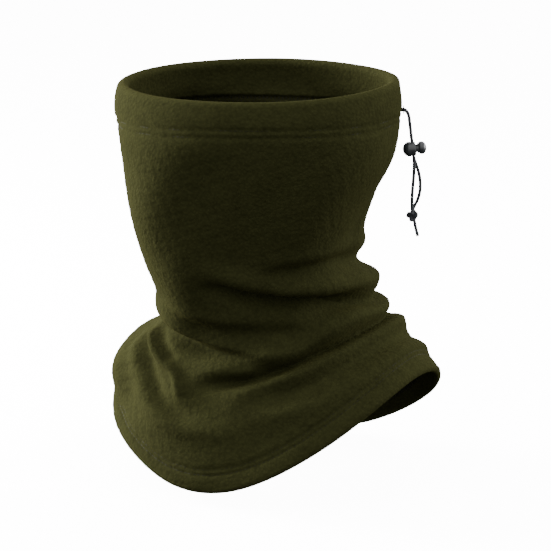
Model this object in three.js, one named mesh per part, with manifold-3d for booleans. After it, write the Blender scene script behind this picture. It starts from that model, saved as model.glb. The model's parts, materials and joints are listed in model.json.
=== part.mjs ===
// Neck gaiter: a fleece tube with a drawcord casing at the top and a turned hem at the bottom.
// Millimetres, +Z up, -Y is the wearer's front, +X the wearer's left. The origin is the centre
// of the wearer's neck, at the gaiter's waist.
import * as THREE from 'three';
import { ParametricGeometry } from 'three/addons/geometries/ParametricGeometry.js';
import { mergeVertices } from 'three/addons/utils/BufferGeometryUtils.js';
import Module from 'manifold-3d';

const wasm = await Module();
wasm.setup();

// ---------------------------------------------------------------- driving dimensions (mm)

const FABRIC = 2.4;             // thickness of the fleece
const GAP = 0.3;                // clearance between pieces that touch
const CORD = 2.0;               // diameter of the elastic drawcord
const CASING_DEPTH = 29;        // the turned-in leg of the casing, below the crest
const CASING_OPEN = 21.1;       // the channel stays open down to here
const CASING_SHUT = 22.5;       // and is pressed shut from here on
const CASING_ROWS = [22.9, 26.5]; // the casing's twin stitch rows, below the crest
const HEM_DEPTH = 17;           // the turned-in layer of the hem, above the edge
const HEM_ROWS = [15, 12];      // the hem's twin stitch rows, above the edge
const CREST_LIP = 1.8;          // how far the rolled crest comes down on the inside
const HEM_LIP = 1.5;            // how far the folded edge comes up on the inside
const ALLOWANCE = 3.4;          // thickness of the back seam's allowance, its edges laid open
const ALLOWANCE_ANGLES = [177, 183]; // degrees from the front
const OVERLOCK_ANGLES = [178, 182];
const THREAD = 0.6;             // diameter of the sewing thread
const SQUARENESS = 2.2;         // 2 is an ellipse, more is a squarer ring
const SEGMENTS = 56;            // divisions around the tube

// The outer surface hangs on four guides, at the front, left, back and right. Each pair is
// [reach from the axis, height]. The first two rows are CREST_SPAN apart and the last two
// HEM_DEPTH, so that rows of stitching keep an even distance from the edges.
const CREST_SPAN = 23;
const GUIDES = {
  front: [[100, 132], [104, 109], [101, 84], [95, 54], [86, 25], [74, -2], [67, -20], [70, -40],
    [78, -64], [86, -93], [90, -109]],
  left: [[85, 135], [87, 112], [83, 88], [71, 62], [62, 40], [59, 20], [60, 6], [70, -8],
    [82, -20], [93, -31], [105, -43]],
  back: [[50, 132], [53, 109], [53, 88], [50, 64], [47, 42], [48, 24], [50, 8], [57, -14],
    [70, -50], [87, -96], [92, -112]],
  right: [[84, 131], [86, 108], [83, 84], [80, 56], [74, 28], [68, 4], [66, -14], [79, -32],
    [92, -48], [97, -60], [101, -75]],
};
const LAST_ROW = GUIDES.front.length - 1;

// The drawcord leaves the casing through a buttonhole on the wearer's left, towards the back.
const EXIT_ANGLE = 112;         // degrees from the front, towards the wearer's left
const EXIT_DROP = 19.5;         // below the crest
const STRAND_SPACING = CORD + GAP;
const CASING_CORD_END = 1.2;    // the cord in the casing ends this far out of the buttonhole
const BUTTONHOLE_RIM = 0.7;     // width of the stitched rim
const HANG_ANGLE = 115;         // the plane that the hanging cord lies in

// The hanging cord's route from the buttonhole, [outwards, upwards]. Both strands share the way
// through the lock, and part below it until the knot. The cord runs straight from the bend's end
// to just below the lock, so that the lock can slide.
const EXIT_BEND = [[2, -0.6], [2.75, -1.55], [3.35, -2.75], [3.75, -4.1]];
const STRAIGHT_START = [4, -5.6];
const LOCK_CENTRE = [6.3, -23.9];
const ROUTE_TO_LOCK = [...EXIT_BEND, STRAIGHT_START, [4.77, -11.7], [5.53, -17.8], LOCK_CENTRE];
const ROUTE_A = [[6.9, -28.9], [7.15, -33], [7.1, -38], [6.8, -43], [6.4, -48], [6.1, -53.5],
  [6.1, -58.6]];
const ROUTE_B = [[6.95, -28.9], [8.2, -33], [9.7, -37.5], [10.8, -42.5], [11.1, -48], [10.5, -52.5],
  [9.3, -56.3], [7.7, -59.4]];
const KNOT_CENTRE = [6.4, -65.2];
const KNOT_SIZE = [6.8, 5.6, 6.6];
const TAIL_ROUTE = [[7.7, -68.9], [8.6, -73], [9.8, -77.6]];

// The cord lock lies across the cord. Stations are measured along its axis from the closed end.
const LOCK_LENGTH = 7.9;
const LOCK_RADIUS = 4.5;
const LOCK_MOUTH_RADIUS = 4.1;
const LOCK_WIDEST = 4.0;
const SLOT_CENTRE = 6.1;
const SLOT_LENGTH = CORD + 0.4;
const SLOT_WIDTH = STRAND_SPACING + CORD + 0.4;
const BORE_RADIUS = 3.3;
const BORE_FLOOR = 2.0;
const POCKET_RADIUS = 2.2;
const POCKET_FLOOR = 0.9;
const SHANK_RADIUS = BORE_RADIUS - GAP;
const SHANK_START = 4.3;
const HEAD_START = 9.7;
const HEAD_END = 14.4;
const HEAD_RADIUS = 3.9;
const PLUNGER_TRAVEL = 1.6;
const SPRING_WIRE = 0.45;
const SPRING_RADIUS = 1.6;
const SPRING_TURNS = 2.5;

// ---------------------------------------------------------------- materials

function material(color, roughness, metalness = 0) {
  return new THREE.MeshStandardMaterial({ color, roughness, metalness });
}

const FLEECE = () => material(0x45431f, 0.95);
const SEWING = () => material(0x3a3819, 0.8);
const BRAID = () => material(0x23282b, 0.7);
const PLASTIC = () => material(0x15181a, 0.4);
const STEEL = () => material(0xb8bcc0, 0.3, 1);

// ---------------------------------------------------------------- helpers

const group = new THREE.Group();

function add(name, geometry, surface) {
  const mesh = new THREE.Mesh(geometry, surface);
  mesh.name = name;
  group.add(mesh);
  return mesh;
}

// Keeps only the positions, and shares every vertex that two faces have in common.
function welded(geometry) {
  const bare = geometry.clone();
  bare.deleteAttribute('normal');
  bare.deleteAttribute('uv');
  return mergeVertices(bare, 1e-4);
}

function toManifold(geometry) {
  const merged = welded(geometry);
  return new wasm.Manifold(new wasm.Mesh({
    numProp: 3,
    vertProperties: new Float32Array(merged.attributes.position.array),
    triVerts: new Uint32Array(merged.index.array),
  }));
}

function toGeometry(solid) {
  const mesh = solid.getMesh();
  const geometry = new THREE.BufferGeometry();
  geometry.setAttribute('position', new THREE.BufferAttribute(mesh.vertProperties, 3));
  geometry.setIndex(new THREE.BufferAttribute(mesh.triVerts, 1));
  return geometry;
}

function cut(geometry, ...cutters) {
  let solid = toManifold(geometry);
  for (const cutter of cutters) solid = solid.subtract(toManifold(cutter));
  return toGeometry(solid);
}

// ---------------------------------------------------------------- the outer surface

function guideCurve(rows) {
  const points = rows.map(([reach, height]) => new THREE.Vector3(reach, height, 0));
  return new THREE.CatmullRomCurve3(points, false, 'catmullrom', 0.5);
}

const guideCurves = Object.fromEntries(
  Object.entries(GUIDES).map(([side, rows]) => [side, guideCurve(rows)]),
);

// A point of the outer surface: u is the angle from the front in radians, v counts guide rows.
function outerPoint(u, v) {
  const at = (side) => guideCurves[side].getPoint(v / LAST_ROW);
  const [front, left, back, right] = [at('front'), at('left'), at('back'), at('right')];
  const sin = Math.sin(u);
  const cos = Math.cos(u);
  const halfWidth = (left.x + right.x) / 2;
  const halfDepth = (front.x + back.x) / 2;
  const radius = (Math.abs(sin / halfWidth) ** SQUARENESS
    + Math.abs(cos / halfDepth) ** SQUARENESS) ** (-1 / SQUARENESS);
  const height = (front.y + left.y + back.y + right.y) / 4
    + (front.y - back.y) / 2 * cos
    + (left.y - right.y) / 2 * sin
    + (front.y + back.y - left.y - right.y) / 4 * Math.cos(2 * u);
  return new THREE.Vector3(
    (left.x - right.x) / 2 + radius * sin,
    (back.x - front.x) / 2 - radius * cos,
    height,
  );
}

function outwardNormal(u, v) {
  const step = 0.01;
  const low = Math.max(0, v - step);
  const high = Math.min(LAST_ROW, v + step);
  const along = outerPoint(u, high).sub(outerPoint(u, low));
  const around = outerPoint(u + step, v).sub(outerPoint(u - step, v));
  return along.cross(around).normalize();
}

// A point at a depth under the outer surface; a negative depth is outside it.
function wallPoint(u, v, depth) {
  return outerPoint(u, v).addScaledVector(outwardNormal(u, v), -depth);
}

const belowCrest = (distance) => distance / CREST_SPAN;
const aboveHem = (distance) => LAST_ROW - distance / HEM_DEPTH;

// A closed band around the tube. The profile is a closed list of [v, depth]: down the outer
// face, then back up the inner one.
function band(profile) {
  const place = (a, b, target) => {
    const [v, depth] = profile.at(-Math.round(b * profile.length));
    const u = 2 * Math.PI * (Math.round(a * SEGMENTS) % SEGMENTS) / SEGMENTS;
    target.copy(wallPoint(u, v, depth));
  };
  return welded(new ParametricGeometry(place, SEGMENTS, profile.length));
}

// A box bent to the wall: angles in degrees, then rows, then depths.
function bentBox([uLow, uHigh], [vLow, vHigh], [depthLow, depthHigh], stepsAround, stepsAlong) {
  const box = welded(new THREE.BoxGeometry(1, 1, 1, stepsAround, stepsAlong, 1));
  const position = box.attributes.position;
  for (let i = 0; i < position.count; i += 1) {
    const u = THREE.MathUtils.degToRad(THREE.MathUtils.lerp(uLow, uHigh, position.getX(i) + 0.5));
    const v = THREE.MathUtils.lerp(vLow, vHigh, 0.5 - position.getY(i));
    const depth = THREE.MathUtils.lerp(depthHigh, depthLow, position.getZ(i) + 0.5);
    position.setXYZ(i, ...wallPoint(u, v, depth));
  }
  return box;
}

function steps(from, to, count) {
  return Array.from({ length: count + 1 }, (_, i) => from + (to - from) * i / count);
}

// A half turn in the wall's section, from depth `from` to depth `to`. `row` turns the distance
// from the edge into a guide row, and `edge` is the closest that the turn comes to it.
function halfTurn(from, to, edge, row, count) {
  const radius = Math.abs(to - from) / 2;
  return steps(0, Math.PI, count).map((angle) => [
    row(edge + radius - radius * Math.sin(angle)),
    (from + to) / 2 + (from - to) / 2 * Math.cos(angle),
  ]);
}

// ---------------------------------------------------------------- cords

// Sampled evenly between its points, so that close points make a fine bend.
class PointwiseCurve extends THREE.CatmullRomCurve3 {
  getUtoTmapping(u) { return u; }
}

function tube(points, diameter, { sides = 8, stepsEach = 2 } = {}) {
  const section = new THREE.Shape(steps(0, 2 * Math.PI, sides).slice(0, sides).map(
    (angle) => new THREE.Vector2(Math.cos(angle), Math.sin(angle)).multiplyScalar(diameter / 2),
  ));
  const extrudePath = new PointwiseCurve(points, false, 'centripetal');
  return new THREE.ExtrudeGeometry(section, { steps: (points.length - 1) * stepsEach, extrudePath });
}

const exitU = THREE.MathUtils.degToRad(EXIT_ANGLE);
const exitPoint = wallPoint(exitU, belowCrest(EXIT_DROP), 0);
const hangU = THREE.MathUtils.degToRad(HANG_ANGLE);
const outwards = new THREE.Vector3(Math.sin(hangU), -Math.cos(hangU), 0);
const sideways = new THREE.Vector3(Math.cos(hangU), Math.sin(hangU), 0);
const upwards = new THREE.Vector3(0, 0, 1);

// A point of the hanging cord, from its place in the hanging plane and its offset across it.
function hanging([out, up], across) {
  return exitPoint.clone().addScaledVector(outwards, out).addScaledVector(upwards, up)
    .addScaledVector(sideways, across);
}

// ---------------------------------------------------------------- fleece

const channel = CORD + 2 * GAP;
const legDepth = FABRIC + channel;
const pressedDepth = FABRIC + GAP;
const crestRadius = FABRIC + channel / 2;
const foldRadius = FABRIC + GAP / 2;

// The rows that every layer of the wall shares, so that its faces stay parallel.
const legDrops = [
  crestRadius + CREST_LIP + GAP, 11, 16, CASING_OPEN, CASING_SHUT, CREST_SPAN, CASING_DEPTH,
];
const hemRises = [HEM_DEPTH, 11, foldRadius + HEM_LIP + GAP];
const wallRows = [
  ...legDrops.map(belowCrest),
  ...steps(belowCrest(CASING_DEPTH), aboveHem(HEM_DEPTH), 15).slice(1, -1),
  ...hemRises.map(aboveHem),
];

function fleeceBody() {
  const profile = [
    ...wallRows.map((v) => [v, 0]),
    ...halfTurn(0, 2 * foldRadius, 0, aboveHem, 5),
    [aboveHem(foldRadius + HEM_LIP), 2 * foldRadius],
    [aboveHem(foldRadius + HEM_LIP), pressedDepth],
    ...halfTurn(pressedDepth, FABRIC, FABRIC, aboveHem, 2),
    ...wallRows.map((v) => [v, FABRIC]).reverse(),
    ...halfTurn(FABRIC, legDepth, FABRIC, belowCrest, 4),
    [belowCrest(crestRadius + CREST_LIP), legDepth],
    [belowCrest(crestRadius + CREST_LIP), legDepth + FABRIC],
    ...halfTurn(legDepth + FABRIC, 0, 0, belowCrest, 6),
  ];
  return cut(band(profile), cordOpening());
}

// The buttonhole's opening through the outer wall, a slot as wide as the two strands.
function cordOpening() {
  return acrossWall(stadium(STRAND_SPACING, CORD / 2 + GAP), FABRIC + channel / 2, 1);
}

// A slot with round ends: `spread` between the centres of its ends.
function stadium(spread, radius) {
  const shape = new THREE.Shape();
  shape.absarc(spread / 2, 0, radius, -Math.PI / 2, Math.PI / 2);
  shape.absarc(-spread / 2, 0, radius, Math.PI / 2, 3 * Math.PI / 2);
  return shape;
}

// A shape pushed through the wall at the cord's exit, from `inside` under the surface to
// `outside` above it.
function acrossWall(shape, inside, outside) {
  const depth = inside + outside;
  const solid = new THREE.ExtrudeGeometry(shape, { depth, bevelEnabled: false, curveSegments: 6 });
  const frame = new THREE.Matrix4().makeBasis(sideways, upwards, outwards);
  const start = exitPoint.clone().addScaledVector(outwards, -inside);
  return solid.applyMatrix4(frame).translate(start.x, start.y, start.z);
}

function topCasing() {
  const depthAt = (drop) => (drop > CASING_OPEN ? pressedDepth : legDepth);
  const outerFace = legDrops.map((drop) => [belowCrest(drop), depthAt(drop)]);
  const innerFace = legDrops.map((drop) => [belowCrest(drop), depthAt(drop) + FABRIC]).reverse();
  return band([...outerFace, ...innerFace]);
}

function bottomHem() {
  const outerFace = hemRises.map((rise) => [aboveHem(rise), pressedDepth]);
  const innerFace = hemRises.map((rise) => [aboveHem(rise), pressedDepth + FABRIC]).reverse();
  return band([...outerFace, ...innerFace]);
}

// A thread laid around the tube, its middle at a row and a depth.
function threadRing(v, depth, row) {
  const half = THREAD / 2;
  const reach = Math.abs(row(half) - row(0));
  return band([[v - reach, depth], [v, depth - half], [v + reach, depth], [v, depth + half]]);
}

// The back seam runs between the casing's leg and the hem's.
const seamRows = [belowCrest(CASING_DEPTH + 1), aboveHem(HEM_DEPTH + 1)];

function seamAllowance() {
  return bentBox(ALLOWANCE_ANGLES, seamRows, [pressedDepth, pressedDepth + ALLOWANCE], 2, 24);
}

function seamOverlock() {
  const depth = pressedDepth + ALLOWANCE + GAP;
  return bentBox(OVERLOCK_ANGLES, seamRows, [depth, depth + THREAD], 2, 24);
}

add('fleece_body', fleeceBody(), FLEECE());
add('top_casing', topCasing(), FLEECE());
add('bottom_hem', bottomHem(), FLEECE());
add('back_seam_allowance', seamAllowance(), FLEECE());
add('back_seam_overlock', seamOverlock(), SEWING());

const onFace = -(GAP + THREAD / 2);
const underLayers = pressedDepth + FABRIC + GAP + THREAD / 2;
['upper', 'lower'].forEach((name, i) => {
  add(`top_stitch_${name}`, threadRing(belowCrest(CASING_ROWS[i]), onFace, belowCrest), SEWING());
  add(`bottom_stitch_${name}`, threadRing(aboveHem(HEM_ROWS[i]), onFace, aboveHem), SEWING());
});
const middle = ([first, second]) => (first + second) / 2;
const topLooper = threadRing(belowCrest(middle(CASING_ROWS)), underLayers, belowCrest);
const bottomLooper = threadRing(aboveHem(middle(HEM_ROWS)), underLayers, aboveHem);
add('top_looper_thread', topLooper, SEWING());
add('bottom_looper_thread', bottomLooper, SEWING());

// ---------------------------------------------------------------- drawcord

function buttonhole() {
  const ring = stadium(STRAND_SPACING, CORD / 2 + GAP + BUTTONHOLE_RIM);
  ring.holes.push(stadium(STRAND_SPACING, CORD / 2 + GAP));
  return acrossWall(ring, -GAP, GAP + THREAD);
}

// The stretch inside the casing: around the fold, down the channel to the buttonhole at both
// ends, and out through the wall.
function cordInCasing() {
  const mid = FABRIC + channel / 2;
  const half = STRAND_SPACING / 2;
  const reach = outerPoint(exitU, belowCrest(EXIT_DROP)).setZ(0).length();
  const exitHalf = THREE.MathUtils.radToDeg(half / reach);
  const inChannel = (angle, drop) => (
    wallPoint(THREE.MathUtils.degToRad(EXIT_ANGLE + angle), belowCrest(drop), mid)
  );
  const crest = steps(24, 336, 52).map((angle) => inChannel(angle, mid));
  const firstEnd = [[exitHalf, EXIT_DROP - 1.6], [exitHalf + 1.2, 15.5], [5.5, 12], [10, 8], [16, 4.7]];
  const lastEnd = firstEnd.map(([angle, drop]) => [360 - angle, drop]).reverse();
  const exit = [[CASING_CORD_END, 0], [-1, 0], [1 - mid, -0.1]];
  return tube([
    ...exit.map((place) => hanging(place, half)),
    ...firstEnd.map(([angle, drop]) => inChannel(angle, drop)),
    ...crest,
    ...lastEnd.map(([angle, drop]) => inChannel(angle, drop)),
    ...exit.map((place) => hanging(place, -half)).reverse(),
  ], CORD, { stepsEach: 1 });
}

function strand(route, across) {
  const points = [...ROUTE_TO_LOCK, ...route];
  return tube(points.map((place) => hanging(place, across)), CORD);
}

function knot() {
  const [width, depth, height] = KNOT_SIZE;
  const ball = new THREE.SphereGeometry(0.5, 16, 10).scale(depth, width, height);
  const centre = hanging(KNOT_CENTRE, 0);
  return ball.rotateZ(hangU).translate(centre.x, centre.y, centre.z);
}

const acrossA = -STRAND_SPACING / 2;
const acrossB = STRAND_SPACING / 2;
add('cord_exit_buttonhole', buttonhole(), SEWING());
add('drawcord_in_casing', cordInCasing(), BRAID());
add('drawcord_strand_a', strand(ROUTE_A, acrossA), BRAID());
add('drawcord_strand_b', strand(ROUTE_B, acrossB), BRAID());
add('drawcord_knot', knot(), BRAID());
add('drawcord_tail_a', tube(TAIL_ROUTE.map((place) => hanging(place, acrossA)), CORD), BRAID());
add('drawcord_tail_b', tube(TAIL_ROUTE.map((place) => hanging(place, acrossB)), CORD), BRAID());

// ---------------------------------------------------------------- cord lock

// The lock's frame: X along its axis, Z up along the strands, its origin at the closed end.
const lean = Math.atan2(LOCK_CENTRE[0] - STRAIGHT_START[0], STRAIGHT_START[1] - LOCK_CENTRE[1]);
const lockAxis = outwards.clone().multiplyScalar(Math.cos(lean)).addScaledVector(upwards, Math.sin(lean));
const lockUp = lockAxis.clone().cross(sideways).normalize();

function inLock(geometry) {
  const frame = new THREE.Matrix4().makeBasis(lockAxis, sideways, lockUp);
  const origin = hanging(LOCK_CENTRE, 0).addScaledVector(lockAxis, -SLOT_CENTRE);
  return geometry.applyMatrix4(frame).translate(origin.x, origin.y, origin.z);
}

// A solid turned about the lock's axis, from a profile of [station, radius].
function turned(profile) {
  const outline = profile.map(([station, radius]) => new THREE.Vector2(radius, station));
  return new THREE.LatheGeometry(outline, 28).rotateX(Math.PI / 2).rotateY(Math.PI / 2);
}

function bored(radius, from, to) {
  return turned([[from, 0], [from, radius], [to, radius], [to, 0]]);
}

function slotCutter(from, to) {
  const box = new THREE.BoxGeometry(to - from, SLOT_WIDTH, 4 * LOCK_RADIUS);
  return box.translate((from + to) / 2, 0, 0);
}

function lockBody() {
  const nose = steps(0, Math.PI / 2, 7).map((angle) => [
    LOCK_WIDEST - LOCK_WIDEST * Math.cos(angle), LOCK_RADIUS * Math.sin(angle),
  ]);
  const shell = turned([
    ...nose,
    [LOCK_LENGTH - 1.6, LOCK_RADIUS - 0.12],
    [LOCK_LENGTH - 0.4, LOCK_MOUTH_RADIUS + 0.12],
    [LOCK_LENGTH, LOCK_MOUTH_RADIUS - 0.3],
    [LOCK_LENGTH, 0],
  ]);
  return cut(
    shell,
    bored(BORE_RADIUS, BORE_FLOOR, LOCK_LENGTH + 1),
    bored(POCKET_RADIUS, POCKET_FLOOR, BORE_FLOOR + 1),
    slotCutter(SLOT_CENTRE - SLOT_LENGTH / 2, SLOT_CENTRE + SLOT_LENGTH / 2),
  );
}

function plunger() {
  const headLength = HEAD_END - HEAD_START;
  const headWidest = HEAD_START + 0.4 * headLength;
  const dome = steps(0, Math.PI / 2, 6).map((angle) => [
    headWidest + (HEAD_END - headWidest) * Math.sin(angle), HEAD_RADIUS * Math.cos(angle),
  ]);
  const solid = turned([
    [SHANK_START, 0],
    [SHANK_START, SHANK_RADIUS],
    [HEAD_START, SHANK_RADIUS],
    [HEAD_START + 0.35, HEAD_RADIUS - 0.45],
    ...dome.slice(0, -1),
    [HEAD_END, 0],
  ]);
  const slotStart = SLOT_CENTRE - SLOT_LENGTH / 2;
  const slotEnd = SLOT_CENTRE + SLOT_LENGTH / 2 + PLUNGER_TRAVEL;
  return cut(solid, slotCutter(slotStart, slotEnd));
}

function spring() {
  const half = SPRING_WIRE / 2;
  const start = POCKET_FLOOR + GAP + half;
  const end = SHANK_START - GAP - half;
  const points = steps(0, 1, 12 * SPRING_TURNS).map((t) => {
    const angle = 2 * Math.PI * SPRING_TURNS * t;
    return new THREE.Vector3(
      start + (end - start) * t, SPRING_RADIUS * Math.cos(angle), SPRING_RADIUS * Math.sin(angle),
    );
  });
  return tube(points, SPRING_WIRE, { sides: 6, stepsEach: 1 });
}

add('cord_lock_body', inLock(lockBody()), PLASTIC());
add('cord_lock_plunger', inLock(plunger()), PLASTIC());
add('cord_lock_spring', inLock(spring()), STEEL());

export default group;
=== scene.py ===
"""Neck gaiter: a fleece tube worn on a neck, with a drawcord casing, a turned hem and a cord lock.

Metres, +Z up, -Y towards the wearer's front and +X towards the wearer's left, in the frame of the
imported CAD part. The fleece is one sheet, turned in at its top as the casing and at its bottom as
the hem. Its folds are pressed into a smooth surface that hangs on four guides.
"""

import json
import logging
import math
from dataclasses import dataclass, field
from enum import Enum

import bmesh
import bpy
import numpy as np
from mathutils import Matrix, Vector
from numpy.typing import NDArray

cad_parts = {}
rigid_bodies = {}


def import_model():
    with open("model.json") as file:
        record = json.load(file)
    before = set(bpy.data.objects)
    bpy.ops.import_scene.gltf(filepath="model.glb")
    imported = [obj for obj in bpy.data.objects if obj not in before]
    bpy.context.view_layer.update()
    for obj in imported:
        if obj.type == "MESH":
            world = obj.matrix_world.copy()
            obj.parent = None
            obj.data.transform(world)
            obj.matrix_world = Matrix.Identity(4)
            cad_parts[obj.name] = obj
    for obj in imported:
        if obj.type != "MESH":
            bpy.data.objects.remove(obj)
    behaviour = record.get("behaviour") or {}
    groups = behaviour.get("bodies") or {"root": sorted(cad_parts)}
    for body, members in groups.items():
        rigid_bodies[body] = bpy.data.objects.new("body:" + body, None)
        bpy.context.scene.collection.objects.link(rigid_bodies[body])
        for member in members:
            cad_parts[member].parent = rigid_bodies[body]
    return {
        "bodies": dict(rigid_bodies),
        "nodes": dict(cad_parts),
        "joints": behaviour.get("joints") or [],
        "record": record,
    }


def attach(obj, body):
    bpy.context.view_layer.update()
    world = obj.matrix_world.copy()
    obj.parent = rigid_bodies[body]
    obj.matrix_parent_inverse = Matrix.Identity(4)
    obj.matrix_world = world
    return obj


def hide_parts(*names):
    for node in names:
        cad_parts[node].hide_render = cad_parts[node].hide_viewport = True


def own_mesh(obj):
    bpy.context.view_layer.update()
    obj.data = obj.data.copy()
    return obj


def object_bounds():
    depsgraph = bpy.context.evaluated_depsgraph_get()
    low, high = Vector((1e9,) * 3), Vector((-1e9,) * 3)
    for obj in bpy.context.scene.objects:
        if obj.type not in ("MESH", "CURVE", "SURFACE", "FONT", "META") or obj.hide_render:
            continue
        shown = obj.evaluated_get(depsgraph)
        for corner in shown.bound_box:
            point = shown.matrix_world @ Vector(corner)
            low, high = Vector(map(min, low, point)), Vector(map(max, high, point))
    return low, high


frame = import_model()
cad_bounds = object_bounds()

log = logging.getLogger("neck_gaiter")
Array = NDArray[np.float64]
Colour = tuple[float, float, float]
Rows = tuple[tuple[float, float], ...]
MM = 0.001
UP = np.array([0.0, 0.0, 1.0])


# ---------------------------------------------------------------------------- numbers and paths


def smooth_step(low: float, high: float, value: Array) -> Array:
    """A soft rise from 0 at low to 1 at high.

    Args:
        low: The value where the rise starts.
        high: The value where it ends.
        value: The values to map.

    Returns:
        Numbers from 0 to 1, of the shape of value.
    """
    t = np.clip((value - low) / (high - low), 0.0, 1.0)
    return t * t * (3.0 - 2.0 * t)


def bell(distance: Array, width: float) -> Array:
    """A bell curve, 1 in its middle and 0.37 at one width from it."""
    return np.exp(-((distance / width) ** 2))


def spline(points: Array, at: Array) -> Array:
    """A uniform Catmull-Rom spline through points, with straight ends.

    Args:
        points: One row for each point of the spline.
        at: Places along it, counted in points.

    Returns:
        One row for each place.
    """
    padded = np.vstack([2 * points[0] - points[1], points, 2 * points[-1] - points[-2]])
    index = np.clip(np.floor(at).astype(int), 0, len(points) - 2)
    t = (at - index)[:, None]
    p0, p1, p2, p3 = (padded[index + k] for k in range(4))
    return 0.5 * (
        2 * p1
        + (p2 - p0) * t
        + (2 * p0 - 5 * p1 + 4 * p2 - p3) * t**2
        + (3 * p1 - p0 - 3 * p2 + p3) * t**3
    )


def evenly(points: Array, step: float) -> Array:
    """Lays a smooth curve through points and samples it at even steps.

    Args:
        points: The curve's points, one a row.
        step: The length of a step, in the points' own unit.

    Returns:
        The sampled points, one a row.
    """
    fine = spline(points, np.linspace(0, len(points) - 1, 40 * len(points)))
    run = run_along(fine)
    count = max(2, int(round(run[-1] / step)) + 1)
    target = np.linspace(0.0, run[-1], count)
    return np.stack([np.interp(target, run, fine[:, k]) for k in range(fine.shape[1])], axis=1)


def unit(vectors: Array) -> Array:
    """Scales each row to a length of one."""
    return vectors / np.linalg.norm(vectors, axis=-1, keepdims=True)


# ---------------------------------------------------------------------------- meshes


def make_object(name: str, mesh: bpy.types.Mesh, finish: bpy.types.Material | None) -> bpy.types.Object:
    """Puts a mesh in the scene as an object at the origin.

    Args:
        name: The piece's name.
        mesh: The mesh, already in the row frame.
        finish: Its material, or None to keep what the mesh has.

    Returns:
        The new object, shaded smooth.
    """
    mesh.name = name
    piece = bpy.data.objects.new(name, mesh)
    bpy.context.scene.collection.objects.link(piece)
    if finish is not None:
        mesh.materials.clear()
        mesh.materials.append(finish)
    mesh.polygons.foreach_set("use_smooth", np.ones(len(mesh.polygons), dtype=bool))
    mesh.update()
    return piece


def grid_mesh(points: Array, closed_rows: bool, closed_columns: bool) -> bpy.types.Mesh:
    """Joins a grid of points with quads.

    Args:
        points: Points by row and column, in metres.
        closed_rows: Whether the last row joins the first.
        closed_columns: Whether the last column joins the first.

    Returns:
        A mesh whose UV map holds the share of the way along a row, then down the rows.
    """
    rows, columns = points.shape[:2]
    row = np.arange(rows if closed_rows else rows - 1)
    column = np.arange(columns if closed_columns else columns - 1)
    i, j = (a.ravel() for a in np.meshgrid(row, column, indexing="ij"))
    i_next, j_next = (i + 1) % rows, (j + 1) % columns
    quads = np.stack(
        [i * columns + j, i_next * columns + j, i_next * columns + j_next, i * columns + j_next],
        axis=1,
    )
    mesh = bpy.data.meshes.new("grid")
    mesh.vertices.add(rows * columns)
    mesh.vertices.foreach_set("co", points.reshape(-1).astype(np.float32))
    mesh.loops.add(quads.size)
    mesh.loops.foreach_set("vertex_index", quads.reshape(-1).astype(np.int32))
    mesh.polygons.add(len(quads))
    mesh.polygons.foreach_set("loop_start", np.arange(0, quads.size, 4, dtype=np.int32))
    corner_u = np.stack([j, j, j + 1, j + 1], axis=1) / columns
    corner_v = np.stack([i, i + 1, i + 1, i], axis=1) / rows
    layer = mesh.uv_layers.new(name="UVMap")
    layer.data.foreach_set("uv", np.stack([corner_u, corner_v], -1).reshape(-1).astype(np.float32))
    mesh.update(calc_edges=True)
    mesh.validate()
    return mesh


def face_outwards(mesh: bpy.types.Mesh) -> bpy.types.Mesh:
    """Merges doubled points and turns every face of a closed mesh outwards."""
    work = bmesh.new()
    work.from_mesh(mesh)
    bmesh.ops.remove_doubles(work, verts=work.verts, dist=1e-7)
    bmesh.ops.recalc_face_normals(work, faces=work.faces)
    work.to_mesh(mesh)
    work.free()
    return mesh


def tube_frames(centres: Array) -> tuple[Array, Array, Array]:
    """Frames along a path that turn as little as they can.

    Args:
        centres: The path's points.

    Returns:
        The tangents and two crosswise directions, one row for each point.
    """
    tangents = unit(np.gradient(centres, axis=0))
    first = np.cross(tangents[0], [0.37, 0.61, 0.70])
    across = [first / np.linalg.norm(first)]
    for tangent in tangents[1:]:
        turned = across[-1] - tangent * np.dot(across[-1], tangent)
        across.append(turned / np.linalg.norm(turned))
    side = np.array(across)
    return tangents, side, np.cross(tangents, side)


def run_along(points: Array) -> Array:
    """The distance from the first point to each point, along the path."""
    return np.concatenate([[0.0], np.cumsum(np.linalg.norm(np.diff(points, axis=0), axis=1))])


def closed_tube(rings: Array, first_tip: Array, last_tip: Array) -> bpy.types.Mesh:
    """Skins rings of points and closes both ends to a tip.

    Args:
        rings: Points by ring and column, in metres.
        first_tip: The point that closes the first ring.
        last_tip: The point that closes the last ring.

    Returns:
        The closed tube's mesh, with its faces outwards.
    """
    first, last = (np.tile(tip, (1, rings.shape[1], 1)) for tip in (first_tip, last_tip))
    return face_outwards(grid_mesh(np.concatenate([first, rings, last]), False, True))


def applied_mesh(piece: bpy.types.Object) -> bpy.types.Mesh:
    """A plain mesh of what an object's modifiers make of it."""
    bpy.context.view_layer.update()
    evaluated = piece.evaluated_get(bpy.context.evaluated_depsgraph_get())
    return bpy.data.meshes.new_from_object(evaluated)


# ---------------------------------------------------------------------------- shader groups


SocketRow = tuple[str, str] | tuple[str, str, object]
Link = tuple[bpy.types.Node, str | int, bpy.types.Node, str | int]


def sockets(group: bpy.types.NodeTree, way: str, *rows: SocketRow) -> None:
    """Adds named sockets to a node group.

    Args:
        group: The group.
        way: INPUT or OUTPUT.
        rows: Each socket's name, its kind without NodeSocket, and its resting value if it has one.
    """
    for name, kind, *value in rows:
        made = group.interface.new_socket(name=name, in_out=way, socket_type="NodeSocket" + kind)
        if value:
            made.default_value = value[0]


def dial(node: bpy.types.Node, **values: object) -> None:
    """Sets a node's inputs, each named with _ for a space."""
    for name, value in values.items():
        node.inputs[name.replace("_", " ")].default_value = value


def plug(tree: bpy.types.NodeTree, *links: Link) -> None:
    """Links nodes, each link given as a node, its output, a node and its input."""
    for source, output, target, entry in links:
        tree.links.new(source.outputs[output], target.inputs[entry])


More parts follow.
